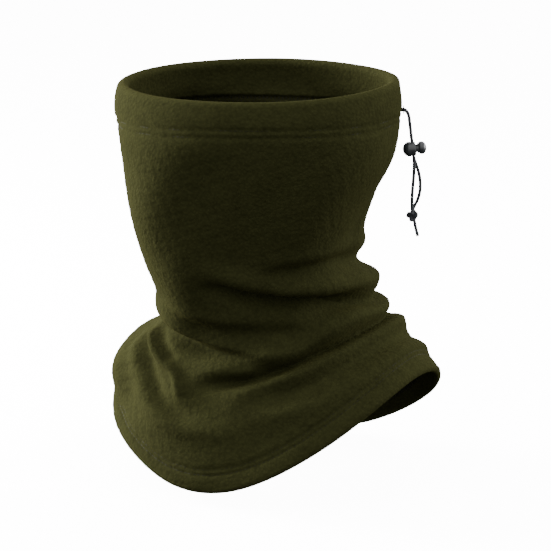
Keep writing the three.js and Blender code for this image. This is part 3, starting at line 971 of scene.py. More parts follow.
@dataclass
class Fleece:
    """The tube itself: one sheet, turned in as the casing and the hem and sewn up the back."""

    form: GaiterForm
    shop: Workshop
    finish: FleeceFinish = FleeceFinish()
    thickness: float = 2.4 * MM
    channel: float = 2.6 * MM
    gap: float = 0.3 * MM
    casing_depth: float = 29 * MM
    hem_depth: float = 17 * MM
    open_to: float = 20.7 * MM
    shut_from: float = 22.9 * MM
    face_rows: int = 176
    lining_rows: int = 64

    def leg(self, drop: Array) -> Array:
        """The depth of the casing leg's outer face at a distance below the crest."""
        pressed = self.thickness + self.gap
        opened = self.thickness + self.channel
        return opened + (pressed - opened) * smooth_step(self.open_to, self.shut_from, drop)

    def section(self) -> list[tuple[float, float]]:
        """The sheet's closed section, as [guide row, depth] down the face and back up inside.

        Returns:
            The section's points, the outer face first.
        """
        form, cloth = self.form, self.thickness
        leg_in = cloth + self.channel
        crest, fold = cloth + self.channel / 2, cloth + self.gap / 2
        pressed = cloth + self.gap
        top, bottom = form.below_crest(crest), form.above_hem(fold)
        face = [(v, 0.0) for v in np.linspace(top, bottom, self.face_rows)]
        hem = [(form.above_hem(fold - fold * math.sin(a)), fold - fold * math.cos(a))
               for a in np.linspace(0, math.pi, 11)[1:-1]]
        hem_face = [(form.above_hem(r), 2 * fold) for r in np.linspace(fold, self.hem_depth - 1 * MM, 12)]
        hem_end = [(form.above_hem(self.hem_depth - (1 - math.sin(a)) * MM),
                    pressed + cloth / 2 + cloth / 2 * math.cos(a))
                   for a in np.linspace(0, math.pi, 7)[1:-1]]
        hem_back = [(form.above_hem(r), pressed) for r in np.linspace(self.hem_depth - 1 * MM, fold, 12)]
        tuck = self.gap / 2
        hem_tuck = [(form.above_hem(fold - tuck * math.sin(a)), cloth + tuck + tuck * math.cos(a))
                    for a in np.linspace(0, math.pi, 5)[1:-1]]
        lining = [(v, cloth) for v in np.linspace(bottom, top, self.lining_rows)]
        bay = self.channel / 2
        crest_tuck = [(form.below_crest(crest - bay * math.sin(a)), cloth + bay - bay * math.cos(a))
                      for a in np.linspace(0, math.pi, 7)[1:-1]]
        drops = np.linspace(crest, self.casing_depth - 1 * MM, 20)
        leg_back = [(form.below_crest(d), float(self.leg(d))) for d in drops]
        end = float(self.leg(drops[-1]))
        leg_end = [(form.below_crest(self.casing_depth - (1 - math.sin(a)) * MM),
                    end + cloth / 2 - cloth / 2 * math.cos(a))
                   for a in np.linspace(0, math.pi, 7)[1:-1]]
        leg_face = [(form.below_crest(d), float(self.leg(d)) + cloth) for d in drops[::-1]]
        roll = (leg_in + cloth) / 2
        crest_roll = [(form.below_crest(crest - crest * math.sin(a)), roll + roll * math.cos(a))
                      for a in np.linspace(0, math.pi, 17)[1:-1]]
        return (face + hem + hem_face + hem_end + hem_back + hem_tuck + lining + crest_tuck
                + leg_back + leg_end + leg_face + crest_roll)

    def sheet_points(self) -> Array:
        """The sheet's points by section point and column."""
        return np.stack([self.form.ring(v, depth)[0] for v, depth in self.section()])

    def build(self) -> bpy.types.Object:
        """Builds the whole closed sheet, which the buttonhole's rim is laid on."""
        mesh = face_outwards(grid_mesh(self.sheet_points(), True, True))
        return make_object("fleece_tube", mesh, self.finish.material(self.shop))

    def build_allowance(self) -> bpy.types.Object:
        """Builds the back seam's two raw edges, sewn together on the inside."""
        form = self.form
        rows = np.linspace(form.below_crest(self.casing_depth + 1 * MM),
                           form.above_hem(self.hem_depth + 1 * MM), 150)
        half_width, half_height, sway = 3.1 * MM, 1.7 * MM, 0.8 * MM
        middle = form.columns // 2
        around = np.linspace(0, 2 * math.pi, 16, endpoint=False)
        points = []
        for k, v in enumerate(rows):
            ring, normal = form.ring(v, self.thickness + self.gap)
            side = unit(ring[middle + 1] - ring[middle - 1])
            lean = sway * math.sin(0.21 * k)
            for a in around:
                across = half_width * math.cos(a) + lean * (math.sin(a) + 1)
                inwards = half_height + half_height * math.sin(a) * (1 - 0.25 * abs(math.cos(a)))
                points.append(ring[middle] + side * across - normal[middle] * inwards)
        grid = np.array(points).reshape(len(rows), len(around), 3)
        mesh = closed_tube(grid, grid[0].mean(axis=0), grid[-1].mean(axis=0))
        return make_object("back_seam_edges", mesh, self.finish.material(self.shop))


# ---------------------------------------------------------------------------- the sewing


class StitchRow(Enum):
    """The visible rows of sewing, each named for the CAD node that it stands for."""

    TOP_UPPER = "top_stitch_upper"
    TOP_LOWER = "top_stitch_lower"
    BOTTOM_UPPER = "bottom_stitch_upper"
    BOTTOM_LOWER = "bottom_stitch_lower"


@dataclass
class Sewing:
    """Every stitch: the twin rows and their looper threads, the overlock and the buttonhole."""

    form: GaiterForm
    fleece: Fleece
    shop: Workshop
    thread: float = 0.62 * MM
    pitch: float = 3.1 * MM
    stitch: float = 2.7 * MM
    sunk: float = 0.12 * MM
    looper_rows: tuple[float, float] = (23.2 * MM, 26.4 * MM)
    looper_turns: int = 190
    finish: ThreadFinish = ThreadFinish()
    material: bpy.types.Material = field(init=False)

    def __post_init__(self) -> None:
        """Builds the thread's material once for all the sewing."""
        self.material = self.finish.material()

    def row_of(self, row: StitchRow) -> Array | float:
        """The guide row that a row of stitches follows, one for each column."""
        index = list(StitchRow).index(row)
        if row in (StitchRow.TOP_UPPER, StitchRow.TOP_LOWER):
            return self.form.below_crest(self.form.casing_row(self.form.angles(), index))
        return self.form.above_hem(self.form.hem_rows[index - 2])

    def lay(self, name: str, points: Array, closed: bool) -> bpy.types.Object:
        """Lays one thread along a path."""
        values = {"Thickness": self.thread, "Sides": 6, "Thread": self.material}
        return grow(name, path_mesh(points, closed), self.shop.thread_line, values)

    def build_row(self, row: StitchRow) -> bpy.types.Object:
        """Sews one row of straight stitches into its groove.

        Args:
            row: Which row.

        Returns:
            The stitches, as one piece.
        """
        points, normals = self.form.ring(self.row_of(row), self.sunk)
        values = {
            "Pitch": self.pitch, "Stitch Length": self.stitch, "Thread Thickness": self.thread,
            "Lean": 0.0, "Unevenness": 0.06, "Thread": self.material,
        }
        path = path_mesh(points, True, normals)
        return grow(row.value + "_thread", path, self.shop.stitching, values)

    def zigzag(self, low: Array | float, high: Array | float, depth: float, count: int) -> Array:
        """A thread that runs to and fro between two rows around the tube.

        Args:
            low: The guide row of one edge.
            high: The guide row of the other edge.
            depth: How far under the outer face it lies.
            count: How many times it comes back.

        Returns:
            The thread's points.
        """
        fineness = 6
        phase = np.arange(self.form.columns * fineness) / fineness
        swing = 0.5 + 0.5 * np.sin(2 * math.pi * count * phase / self.form.columns)
        ring_low, _ = self.form.ring(low, depth)
        ring_high, _ = self.form.ring(high, depth)
        first, t = phase.astype(int), (phase % 1)[:, None]
        second = (first + 1) % self.form.columns
        low_line = ring_low[first] * (1 - t) + ring_low[second] * t
        high_line = ring_high[first] * (1 - t) + ring_high[second] * t
        return low_line + (high_line - low_line) * swing[:, None]

    def build_loopers(self) -> dict[str, bpy.types.Object]:
        """Lays the looper threads on the inside, under both pairs of rows.

        Returns:
            The pieces, by the CAD node that each stands for.
        """
        form, cloth = self.form, self.fleece
        depth = 2 * cloth.thickness + cloth.gap + 0.25 * MM
        first, second = self.looper_rows
        top = self.zigzag(form.below_crest(first), form.below_crest(second), depth, self.looper_turns)
        first, second = form.hem_rows
        bottom = self.zigzag(form.above_hem(first), form.above_hem(second), depth, self.looper_turns)
        return {
            "top_looper_thread": self.lay("top_looper", top, True),
            "bottom_looper_thread": self.lay("bottom_looper", bottom, True),
        }

    def build_overlock(self) -> bpy.types.Object:
        """Wraps the seam's raw edges with a chain that runs to and fro."""
        form, cloth = self.form, self.fleece
        rows = np.linspace(form.below_crest(cloth.casing_depth + 1.5 * MM),
                           form.above_hem(cloth.hem_depth + 1.5 * MM), 1400)
        middle = form.columns // 2
        depth = cloth.thickness + cloth.gap + 3.4 * MM
        half_width, rise, rows_per_turn = 2.5 * MM, 0.9 * MM, 18
        points = []
        for k, v in enumerate(rows):
            ring, normal = form.ring(v, depth)
            side = unit(ring[middle + 1] - ring[middle - 1])
            swing = math.sin(2 * math.pi * k / rows_per_turn)
            points.append(ring[middle] + side * half_width * swing + normal[middle] * rise * swing**2)
        return self.lay("overlock_chain", np.array(points), False)

    def build_buttonhole(self, centre: Array, outwards: Array, sideways: Array) -> bpy.types.Object:
        """Sews the buttonhole's close rim of stitches around the strands, on the outer face.

        Args:
            centre: The middle of the buttonhole on the outer face.
            outwards: The direction that the cord leaves in.
            sideways: The direction of the buttonhole's length.

        Returns:
            The rim.
        """
        spread, radius, proud = 2.3 * MM, 1.72 * MM, 0.55 * MM
        path = []
        for end in (1, -1):
            for a in np.linspace(-math.pi / 2, math.pi / 2, 24):
                path.append(((spread / 2 + radius * math.cos(a)) * end, radius * math.sin(a) * end))
        points = np.array([centre + outwards * proud + sideways * x + UP * z for x, z in path])
        normals = np.repeat(outwards[None], len(points), axis=0)
        values = {
            "Pitch": 0.42 * MM, "Stitch Length": 1.5 * MM, "Thread Thickness": 0.5 * MM,
            "Lean": math.pi / 2, "Unevenness": 0.12, "Thread": self.material,
        }
        return grow("buttonhole_rim", path_mesh(points, True, normals), self.shop.stitching, values)


# ---------------------------------------------------------------------------- the drawcord


@dataclass
class HangingCord:
    """The two strands that hang from the buttonhole, through the lock, to the knot.

    The routes' points are [outwards, upwards] in metres, in the plane that the cord hangs in.
    """

    form: GaiterForm
    shop: Workshop
    finish: BraidFinish = BraidFinish()
    diameter: float = 2 * MM
    spacing: float = 2.3 * MM
    step: float = 0.3 * MM
    exit_angle: float = math.radians(112)
    exit_drop: float = 19.5 * MM
    straight_from: int = 4
    hang_angle: float = math.radians(115)
    to_lock: Rows = ((0.002, -0.0006), (0.00275, -0.00155), (0.00335, -0.00275), (0.00375, -0.0041),
                     (0.004, -0.0056), (0.00477, -0.0117), (0.00553, -0.0178), (0.0063, -0.0239))
    below_a: Rows = ((0.0069, -0.0289), (0.00715, -0.033), (0.0071, -0.038), (0.0068, -0.043),
                     (0.0064, -0.048), (0.0061, -0.0535), (0.0061, -0.0586))
    below_b: Rows = ((0.00695, -0.0289), (0.0082, -0.033), (0.0097, -0.0375), (0.0108, -0.0425),
                     (0.0111, -0.048), (0.0105, -0.0525), (0.0093, -0.0563), (0.0077, -0.0594))
    root: Rows = ((0.0009, -0.0001),)
    into_knot: Rows = ((0.0063, -0.0632),)
    tail: Rows = ((0.0068, -0.0668), (0.0077, -0.0689), (0.0086, -0.073), (0.0098, -0.0776))
    knot_centre: tuple[float, float] = (0.0064, -0.0652)
    knot_size: tuple[float, float, float] = (5.6 * MM, 6.8 * MM, 6.6 * MM)
    exit_point: Array = field(init=False)

    def __post_init__(self) -> None:
        """Finds the exit on the smooth tube, where the CAD part has it."""
        row = np.array([self.form.below_crest(self.exit_drop)])
        self.exit_point = self.form.smooth_point(np.array([self.exit_angle]), row)[0]

    @property
    def outwards(self) -> Array:
        """The level direction that the cord leaves in."""
        return np.array([math.sin(self.hang_angle), -math.cos(self.hang_angle), 0.0])

    @property
    def sideways(self) -> Array:
        """The level direction across the two strands."""
        return np.array([math.cos(self.hang_angle), math.sin(self.hang_angle), 0.0])

    def place(self, route: Rows, across: float) -> Array:
        """Points of a route in the row frame."""
        flat = np.array(route, float)
        return (self.exit_point + flat[:, :1] * self.outwards + flat[:, 1:] * UP
                + across * self.sideways)

    def braid(self, name: str, centres: Array, diameter: float) -> bpy.types.Object:
        """Makes a braided tube along a path, with the yarns in relief.

        Args:
            name: The piece's name.
            centres: The path's points, close together.
            diameter: Over the yarns.

        Returns:
            The tube, closed at both ends.
        """
        sides, relief = 20, 0.07
        _, side, other = tube_frames(centres)
        run = run_along(centres)
        angle = 2 * math.pi * np.arange(sides) / sides
        rise = 2 * math.pi * self.finish.yarns_per_metre * run[:, None] / 3
        turn = self.finish.yarns_around * angle[None] / 2
        yarn = np.maximum(np.sin(turn + rise), np.sin(turn - rise))
        radius = diameter / 2 * (1 - relief + relief * yarn)
        cosine, sine = np.cos(angle)[None, :, None], np.sin(angle)[None, :, None]
        ring = side[:, None] * cosine + other[:, None] * sine
        mesh = closed_tube(centres[:, None] + ring * radius[..., None], centres[0], centres[-1])
        return make_object(name, mesh, self.finish.material(self.shop, run[-1]))

    def build_strand(self, name: str, below: Rows, across: float) -> tuple[bpy.types.Object, Array]:
        """Makes one strand.

        Args:
            name: The piece's name.
            below: Its route below the lock.
            across: Its offset across the two strands.

        Returns:
            The strand and the points that it follows.
        """
        route = self.root + self.to_lock + below + self.into_knot
        path = evenly(self.place(route, across), self.step)
        return self.braid(name, path, self.diameter), path

    def build_knot(self) -> bpy.types.Object:
        """Ties both strands in one overhand knot."""
        depth, width, height = (s - self.diameter for s in self.knot_size)
        centre = self.place((self.knot_centre,), 0.0)[0]
        t = np.linspace(0, 2 * math.pi, 150)
        parts = []
        for k, turn in enumerate((0.0, 0.5)):
            x = (np.sin(t) + 2 * np.sin(2 * t)) / 5.2 * width
            z = (np.cos(t) - 2 * np.cos(2 * t)) / 5.2 * height
            y = -np.sin(3 * t) * 0.5 * depth + (k - 0.5) * 0.8 * MM
            out, rise = x * math.cos(turn) - z * math.sin(turn), x * math.sin(turn) + z * math.cos(turn)
            path = centre + out[:, None] * self.outwards + y[:, None] * self.sideways + rise[:, None] * UP
            parts.append(self.braid(f"knot_turn_{k}", path, self.diameter))
        return join_pieces("knot", parts)

    def build_tail(self, name: str, across: float) -> bpy.types.Object:
        """Makes one cut end below the knot."""
        path = evenly(self.place(self.tail, across), self.step)
        return self.braid(name, path, self.diameter)


def join_pieces(name: str, parts: list[bpy.types.Object]) -> bpy.types.Object:
    """Joins pieces that share their materials into one.

    Args:
        name: The joined piece's name.
        parts: The pieces, which go.

    Returns:
        The joined piece.
    """
    work = bmesh.new()
    for part in parts:
        work.from_mesh(part.data)
    mesh = bpy.data.meshes.new(name)
    work.to_mesh(mesh)
    work.free()
    finish = parts[0].data.materials[0]
    for part in parts:
        bpy.data.objects.remove(part)
    return make_object(name, mesh, finish)


# ---------------------------------------------------------------------------- the cord lock


@dataclass
class CordLock:
    """The sprung lock across the cord: a barrel, a plunger and a spring.

    Stations are measured along its axis from the barrel's closed end.
    """

    cord: HangingCord
    shop: Workshop
    plastic: PlasticFinish = PlasticFinish()
    wire: WireFinish = WireFinish()
    length: float = 7.9 * MM
    radius: float = 4.5 * MM
    mouth_radius: float = 4.1 * MM
    widest: float = 4.0 * MM
    slot_centre: float = 6.1 * MM
    slot_length: float = 2.4 * MM
    slot_width: float = 4.7 * MM
    bore_radius: float = 3.3 * MM
    bore_floor: float = 2.0 * MM
    pocket_radius: float = 2.2 * MM
    pocket_floor: float = 0.9 * MM
    shank_radius: float = 3.0 * MM
    shank_start: float = 4.3 * MM
    head_start: float = 9.7 * MM
    head_end: float = 14.4 * MM
    head_radius: float = 3.9 * MM
    travel: float = 1.6 * MM
    spring_wire: float = 0.45 * MM
    spring_keep: float = 0.52
    spring_gap: float = 0.3 * MM
    spring_radius: float = 1.6 * MM
    spring_turns: float = 2.5

    def frame_matrix(self) -> Matrix:
        """The lock's own frame: X along its axis, Z up along the strands."""
        start, centre = self.cord.to_lock[self.cord.straight_from], self.cord.to_lock[-1]
        lean = math.atan2(centre[0] - start[0], start[1] - centre[1])
        axis = self.cord.outwards * math.cos(lean) + np.array([0, 0, math.sin(lean)])
        up = np.cross(axis, self.cord.sideways)
        origin = self.cord.place((centre,), 0.0)[0] - axis * self.slot_centre
        frame = np.eye(4)
        frame[:3, :] = np.stack([axis, self.cord.sideways, up, origin], axis=1)
        return Matrix(frame.tolist())

    def turned(self, profile: list[tuple[float, float]], segments: int = 96) -> bpy.types.Mesh:
        """A solid turned about the lock's axis, from [station, radius]."""
        angle = 2 * math.pi * np.arange(segments) / segments
        grid = np.array([[(s, r * math.cos(a), r * math.sin(a)) for a in angle] for s, r in profile])
        return face_outwards(grid_mesh(grid, False, True))

    def block(self, low: float, high: float, width: float, height: float) -> bpy.types.Mesh:
        """A box that cuts a slot between two stations."""
        mesh = bpy.data.meshes.new("block")
        corners = [(x, y, z) for x in (low, high) for y in (-width / 2, width / 2)
                   for z in (-height / 2, height / 2)]
        faces = [(0, 1, 3, 2), (4, 6, 7, 5), (0, 4, 5, 1), (2, 3, 7, 6), (0, 2, 6, 4), (1, 5, 7, 3)]
        mesh.from_pydata(corners, [], faces)
        return face_outwards(mesh)

    def carve(self, name: str, solid: bpy.types.Mesh, cutters: list[bpy.types.Mesh],
              bevel: float) -> bpy.types.Object:
        """Cuts shapes out of a solid and rounds its edges.

        Args:
            name: The piece's name.
            solid: The solid, in the lock's frame.
            cutters: The shapes to cut out, in the lock's frame.
            bevel: The width of the rounding.

        Returns:
            The finished piece, in the row frame.
        """
        scale = Matrix.Scale(1 / MM, 4)
        body = bpy.data.objects.new(name + "_blank", solid)
        tools = [bpy.data.objects.new(f"{name}_tool", mesh) for mesh in cutters]
        for piece in (body, *tools):
            piece.data.transform(scale)
            bpy.context.scene.collection.objects.link(piece)
        for tool in tools:
            modifier = body.modifiers.new("cut", "BOOLEAN")
            modifier.operation, modifier.solver, modifier.object = "DIFFERENCE", "EXACT", tool
        rounding = body.modifiers.new("rounding", "BEVEL")
        rounding.width, rounding.segments = bevel / MM, 2
        rounding.limit_method, rounding.angle_limit = "ANGLE", math.radians(38)
        mesh = applied_mesh(body)
        for piece in (body, *tools):
            bpy.data.objects.remove(piece)
        mesh.transform(self.frame_matrix() @ Matrix.Scale(MM, 4))
        return make_object(name, mesh, self.plastic.material())

    def build_barrel(self) -> bpy.types.Object:
        """Turns the barrel, with its bore, its spring pocket and the slot for the cord."""
        nose = [(self.widest * (1 - math.cos(a)), self.radius * math.sin(a))
                for a in np.linspace(0, math.pi / 2, 20)]
        lip = [(self.length - 1.6 * MM, self.radius - 0.12 * MM),
               (self.length - 0.9 * MM, self.radius - 0.22 * MM),
               (self.length - 0.4 * MM, self.mouth_radius + 0.1 * MM),
               (self.length, self.mouth_radius - 0.3 * MM), (self.length, 0.0)]
        bore = self.turned([(self.bore_floor, 0), (self.bore_floor, self.bore_radius),
                            (self.length + MM, self.bore_radius), (self.length + MM, 0)], 64)
        pocket = self.turned([(self.pocket_floor, 0), (self.pocket_floor, self.pocket_radius),
                              (self.bore_floor + 0.5 * MM, self.pocket_radius),
                              (self.bore_floor + 0.5 * MM, 0)], 64)
        half = self.slot_length / 2
        slot = self.block(self.slot_centre - half, self.slot_centre + half, self.slot_width,
                          4 * self.radius)
        return self.carve("lock_barrel", self.turned(nose + lip), [bore, pocket, slot], 0.18 * MM)

    def build_plunger(self) -> bpy.types.Object:
        """Turns the plunger: a slotted shank and a domed button with a ring groove."""
        long = self.head_end - self.head_start
        middle = self.head_start + 0.4 * long
        dome = [(middle + (self.head_end - middle) * math.sin(a), self.head_radius * math.cos(a))
                for a in np.linspace(0, math.pi / 2, 18)]
        profile = [(self.shank_start, 0.0), (self.shank_start, self.shank_radius),
                   (self.head_start, self.shank_radius),
                   (self.head_start + 0.1 * MM, self.head_radius - 0.6 * MM),
                   (self.head_start + 0.45 * MM, self.head_radius - 0.2 * MM),
                   (middle - 0.7 * MM, self.head_radius), *dome]
        half = self.slot_length / 2
        slot = self.block(self.slot_centre - half, self.slot_centre + half + self.travel,
                          self.slot_width, 4 * self.radius)
        return self.carve("lock_plunger", self.turned(profile), [slot], 0.15 * MM)

    def build_spring(self) -> bpy.types.Object:
        """Winds the spring between the pocket's floor and the shank."""
        gap = self.spring_gap + self.spring_wire / 2
        t = np.linspace(0, 1, 120)
        angle = 2 * math.pi * self.spring_turns * t
        low, high = self.pocket_floor + gap, self.shank_start - gap
        local = np.stack([low + (high - low) * t, self.spring_radius * np.cos(angle),
                          self.spring_radius * np.sin(angle)], axis=1)
        frame = np.array(self.frame_matrix())
        points = local @ frame[:3, :3].T + frame[:3, 3]
        values = {"Thickness": self.spring_wire, "Sides": 12, "Thread": self.wire.material()}
        spring = grow("lock_spring", path_mesh(points, False), self.shop.thread_line, values)
        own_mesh(spring)
        return spring


# ---------------------------------------------------------------------------- the studio


@dataclass
class Studio:
    """A pale floor, soft lights and the camera.

    A light is its name, azimuth and elevation in degrees, power and size. The world's strength
    goes from dim to bright between two heights of the direction, each [height, strength].
    """

    target: Vector = field(default_factory=lambda: Vector((0.0, 0.0, 0.006)))
    azimuth: float = math.radians(25)
    elevation: float = math.radians(13.5)
    distance: float = 2.0
    lens: float = 211.7
    lights: tuple[tuple[str, float, float, float, float], ...] = (
        ("key", -88, 11, 92.0, 0.6), ("rim", 130, 14, 21.0, 0.6), ("top", -10, 58, 5.5, 0.9))
    dim_below: tuple[float, float] = (-0.28, 0.12)
    bright_above: tuple[float, float] = (0.3, 2.05)
    sweep_glow: float = 12.0

    def view_direction(self, azimuth: float, elevation: float) -> Vector:
        """The direction from the object to a viewer at an azimuth and elevation."""
        level = math.cos(elevation)
        return Vector((math.sin(azimuth) * level, -math.cos(azimuth) * level, math.sin(elevation)))

    def aim(self, thing: bpy.types.Object, towards: Vector) -> None:
        """Turns a camera or a light to face a point."""
        thing.rotation_euler = (towards - thing.location).to_track_quat("-Z", "Y").to_euler()

    def build_camera(self) -> None:
        """Places the camera."""
        camera = bpy.data.objects.new("camera", bpy.data.cameras.new("camera"))
        bpy.context.scene.collection.objects.link(camera)
        camera.data.lens = self.lens
        camera.data.sensor_width = 36.0
        camera.data.clip_end = 50.0
        camera.location = self.target + self.view_direction(self.azimuth, self.elevation) * self.distance
        self.aim(camera, self.target)
        bpy.context.scene.camera = camera

    def build_light(self, name: str, azimuth: float, elevation: float, power: float, size: float,
                    distance: float = 1.3) -> None:
        """Places one soft light around the object, its azimuth and elevation in degrees."""
        light = bpy.data.objects.new(name, bpy.data.lights.new(name, "AREA"))
        bpy.context.scene.collection.objects.link(light)
        light.data.shape = "DISK"
        light.data.size = size
        light.data.energy = power
        direction = self.view_direction(math.radians(azimuth), math.radians(elevation))
        light.location = self.target + direction * distance
        self.aim(light, self.target)

    def build_lights(self) -> None:
        """Places the key at the left, the rim at the right, a weak top light and a world darker below."""
        for light in self.lights:
            self.build_light(*light)
        world = bpy.data.worlds.new("studio")
        bpy.context.scene.world = world
        world.use_nodes = True
        tree = world.node_tree
        background = tree.nodes["Background"]
        dial(background, Color=(1.0, 1.0, 1.0, 1.0))
        coordinates = tree.nodes.new("ShaderNodeTexCoord")
        split = tree.nodes.new("ShaderNodeSeparateXYZ")
        glow = tree.nodes.new("ShaderNodeMapRange")
        (low, dim), (high, bright) = self.dim_below, self.bright_above
        dial(glow, From_Min=low, From_Max=high, To_Min=dim, To_Max=bright)
        plug(tree, (coordinates, "Generated", split, "Vector"), (split, "Z", glow, "Value"),
             (glow, "Result", background, "Strength"))

    def build_floor(self, height: float) -> bpy.types.Object:
        """Lays the floor, curved up far behind as a sweep."""
        bend, near_end, far_start, top = 1.6, -8.0, 2.5, 8.0
        half_width = 9.0
        arc = np.linspace(0.1, math.pi / 2, 14)
        ys = np.concatenate([[near_end, far_start], far_start + bend * np.sin(arc), [far_start + bend]])
        zs = np.concatenate([[0, 0], bend * (1 - np.cos(arc)), [top]])
        turn = self.azimuth
        grid = [[(x * math.cos(turn) - y * math.sin(turn), x * math.sin(turn) + y * math.cos(turn),
                  z + height) for y, z in zip(ys, zs)] for x in (-half_width, half_width)]
        mesh = grid_mesh(np.array(grid), False, False)
        material, _, shader = new_material("pale_sweep")
        dial(shader, Base_Color=(0.86, 0.86, 0.86, 1.0), Roughness=0.8,
             Emission_Color=(1.0, 1.0, 1.0, 1.0), Emission_Strength=self.sweep_glow)
        floor = make_object("floor", mesh, material)
        floor.visible_diffuse = False
        floor.visible_glossy = False
        return floor


# ---------------------------------------------------------------------------- assembly

CASING_PATTERN_SPAN = 0.55
FLOOR_GAP = 4 * MM
TUCK, VALLEY, RIDGE = FoldKind.TUCK, FoldKind.VALLEY, FoldKind.RIDGE
FOLDS = (
    Fold(VALLEY, ((150, 5.75), (132, 5.6), (111, 5.25), (75, 4.45), (57, 4.28), (40, 4.25),
                (24, 4.35)), 4.8 * MM, 6 * MM),
    Fold(TUCK, ((-12, 4.25), (6, 4.45), (21, 4.67), (35, 4.90), (52, 5.23), (75, 5.90), (103, 6.65),
                (124, 6.8), (150, 6.7)), 10.0 * MM, 9 * MM, 2.5 * MM),
    Fold(VALLEY, ((-42, 5.0), (-20, 5.4), (-4, 5.68), (12, 5.9), (28, 6.2), (45, 6.5), (64, 6.75)),
         5.2 * MM, 6 * MM),
    Fold(TUCK, ((-92, 5.6), (-63, 5.85), (-37, 5.98), (-10, 6.30), (8, 6.53), (21, 6.75), (31, 6.88),
                (48, 6.95)), 8.0 * MM, 8.5 * MM, 3 * MM),
    Fold(TUCK, ((156, 7.75), (128, 7.6), (103, 7.43), (85, 7.20), (71, 7.10), (53, 7.12),
                (38, 7.18), (25, 7.23),
                (12, 7.22), (-2, 7.28), (-18, 7.5)), 10.5 * MM, 7.5 * MM, 3.5 * MM),
    Fold(VALLEY, ((150, 8.5), (124, 8.4), (99, 8.22), (77, 8.05), (64, 8.03), (52, 8.03),
                (42, 8.03), (32, 7.93),
                  (22, 7.85), (8, 7.75)), 6.0 * MM, 7 * MM),
    Fold(RIDGE, ((-74, 6.4), (-59, 6.52), (-45, 6.76), (-31, 7.02), (-22, 7.4), (-18, 7.75)),
         4.6 * MM, 3.6 * MM),
    Fold(VALLEY, ((-70, 6.2), (-56, 6.32), (-42, 6.55), (-30, 6.8)), 2.6 * MM, 3.4 * MM),
    Fold(VALLEY, ((-76, 6.6), (-62, 6.8), (-50, 7.1), (-40, 7.45), (-30, 7.8), (-18, 8.0), (-4, 8.05)),
         3.0 * MM, 5 * MM),
    Fold(RIDGE, ((-150, 7.5), (-122, 7.75), (-100, 7.95), (-82, 8.0), (-68, 8.1),
                (-50, 8.3)), 9.5 * MM, 17 * MM),
    Fold(RIDGE, ((-92, 6.8), (-74, 7.0), (-60, 7.35), (-50, 7.75), (-38, 8.1), (-20, 8.3),
                (0, 8.35), (20, 8.4)),
         3.0 * MM, 6.5 * MM),
    Fold(TUCK, ((138, 4.9), (155, 4.8), (180, 5.1), (205, 5.5), (225, 5.7)),
         6.0 * MM, 8 * MM, 3.5 * MM),
    Fold(VALLEY, ((158, 6.15), (176, 6.0), (190, 6.2), (212, 6.5)), 4.4 * MM, 7 * MM),
    Fold(TUCK, ((140, 7.2), (165, 7.0), (190, 7.05), (215, 7.2), (240, 6.9), (262, 6.5)),
         6.5 * MM, 8 * MM, 4 * MM),
    Fold(VALLEY, ((200, 4.4), (222, 4.7), (245, 4.9), (270, 5.0), (292, 4.8)), 4.2 * MM, 7 * MM),
    Fold(VALLEY, ((150, 8.0), (180, 8.05), (210, 7.95), (240, 7.7)), 4.0 * MM, 8 * MM),
)


def dress_casing_cord(braid: bpy.types.Material) -> None:
    """Gives the cord inside the casing the braid's finish.

    Its mesh has no UV map, so the yarns don't show on it.

    Args:
        braid: The finish.
    """
    node = bpy.data.objects["drawcord_in_casing"]
    for held in node.material_slots:
        held.material = braid


def enlist(piece: bpy.types.Object, body: str, slot: str, *nodes: str) -> None:
    """Hides the CAD nodes that a piece stands for, attaches it to the body that it rides on and logs its
    faces.
    """
    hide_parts(*nodes)
    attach(piece, body)
    log.info("%s: %d faces", piece.name, len(piece.data.polygons))


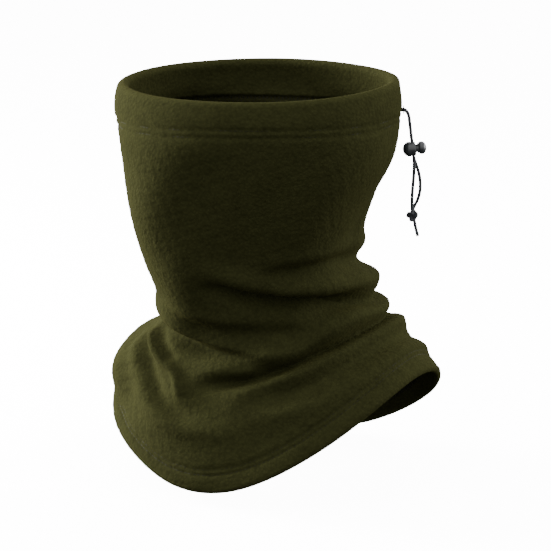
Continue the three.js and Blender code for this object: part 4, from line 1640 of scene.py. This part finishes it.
def assemble_cord(form: GaiterForm, shop: Workshop) -> HangingCord:
    """Builds the hanging cord and its lock, and attaches every piece to its body.

    Args:
        form: The tube that the cord leaves.
        shop: The shared groups and trees.

    Returns:
        The cord.
    """
    cord = HangingCord(form, shop)
    strand_a, path_a = cord.build_strand("pull_strand_a", cord.below_a, -cord.spacing / 2)
    strand_b, path_b = cord.build_strand("pull_strand_b", cord.below_b, cord.spacing / 2)
    knot = cord.build_knot()
    tail_a = cord.build_tail("cut_end_a", -cord.spacing / 2)
    tail_b = cord.build_tail("cut_end_b", cord.spacing / 2)
    for piece, node in ((strand_a, "drawcord_strand_a"), (strand_b, "drawcord_strand_b"),
                        (knot, "drawcord_knot"), (tail_a, "drawcord_tail_a"), (tail_b, "drawcord_tail_b")):
        enlist(piece, "pull_cord", "braid", node)
    lock = CordLock(cord, shop)
    barrel, plunger, spring = lock.build_barrel(), lock.build_plunger(), lock.build_spring()
    enlist(barrel, "cord_lock", "lock_plastic", "cord_lock_body")
    enlist(plunger, "plunger", "lock_plastic", "cord_lock_plunger")
    enlist(spring, "cord_lock", "spring_steel", "cord_lock_spring")
    return cord


def assemble_cloth(form: GaiterForm, shop: Workshop, cord: HangingCord) -> None:
    """Args:
        form: The tube's outer face.
        shop: The shared groups and trees.
        cord: The cord that the buttonhole is sewn around.
    """
    form.press_folds()
    fleece = Fleece(form, shop)
    tube, edges = fleece.build(), fleece.build_allowance()
    enlist(tube, "gaiter", "fleece", "fleece_body", "top_casing", "bottom_hem")
    enlist(edges, "gaiter", "fleece", "back_seam_allowance")
    sewing = Sewing(form, fleece, shop)
    sewn = {row.value: sewing.build_row(row) for row in StitchRow}
    sewn.update(sewing.build_loopers())
    sewn["back_seam_overlock"] = sewing.build_overlock()
    sewn["cord_exit_buttonhole"] = sewing.build_buttonhole(cord.exit_point, cord.outwards, cord.sideways)
    for node, piece in sewn.items():
        enlist(piece, "gaiter", "thread", node)


def main() -> None:
    """Builds the gaiter, piece by piece, in its studio."""
    logging.basicConfig(level=logging.INFO, format="%(message)s")
    studio = Studio()
    studio.build_camera()
    form = GaiterForm(folds=FOLDS)
    shop = Workshop(build_pile_group(), build_yarn_group(), build_stitching_tree(), build_thread_line_tree())
    cord = assemble_cord(form, shop)
    assemble_cloth(form, shop, cord)
    dress_casing_cord(cord.finish.material(shop, CASING_PATTERN_SPAN))
    studio.build_lights()
    studio.build_floor(cad_bounds[0][2] - FLOOR_GAP)


if __name__ == "__main__":
    main()
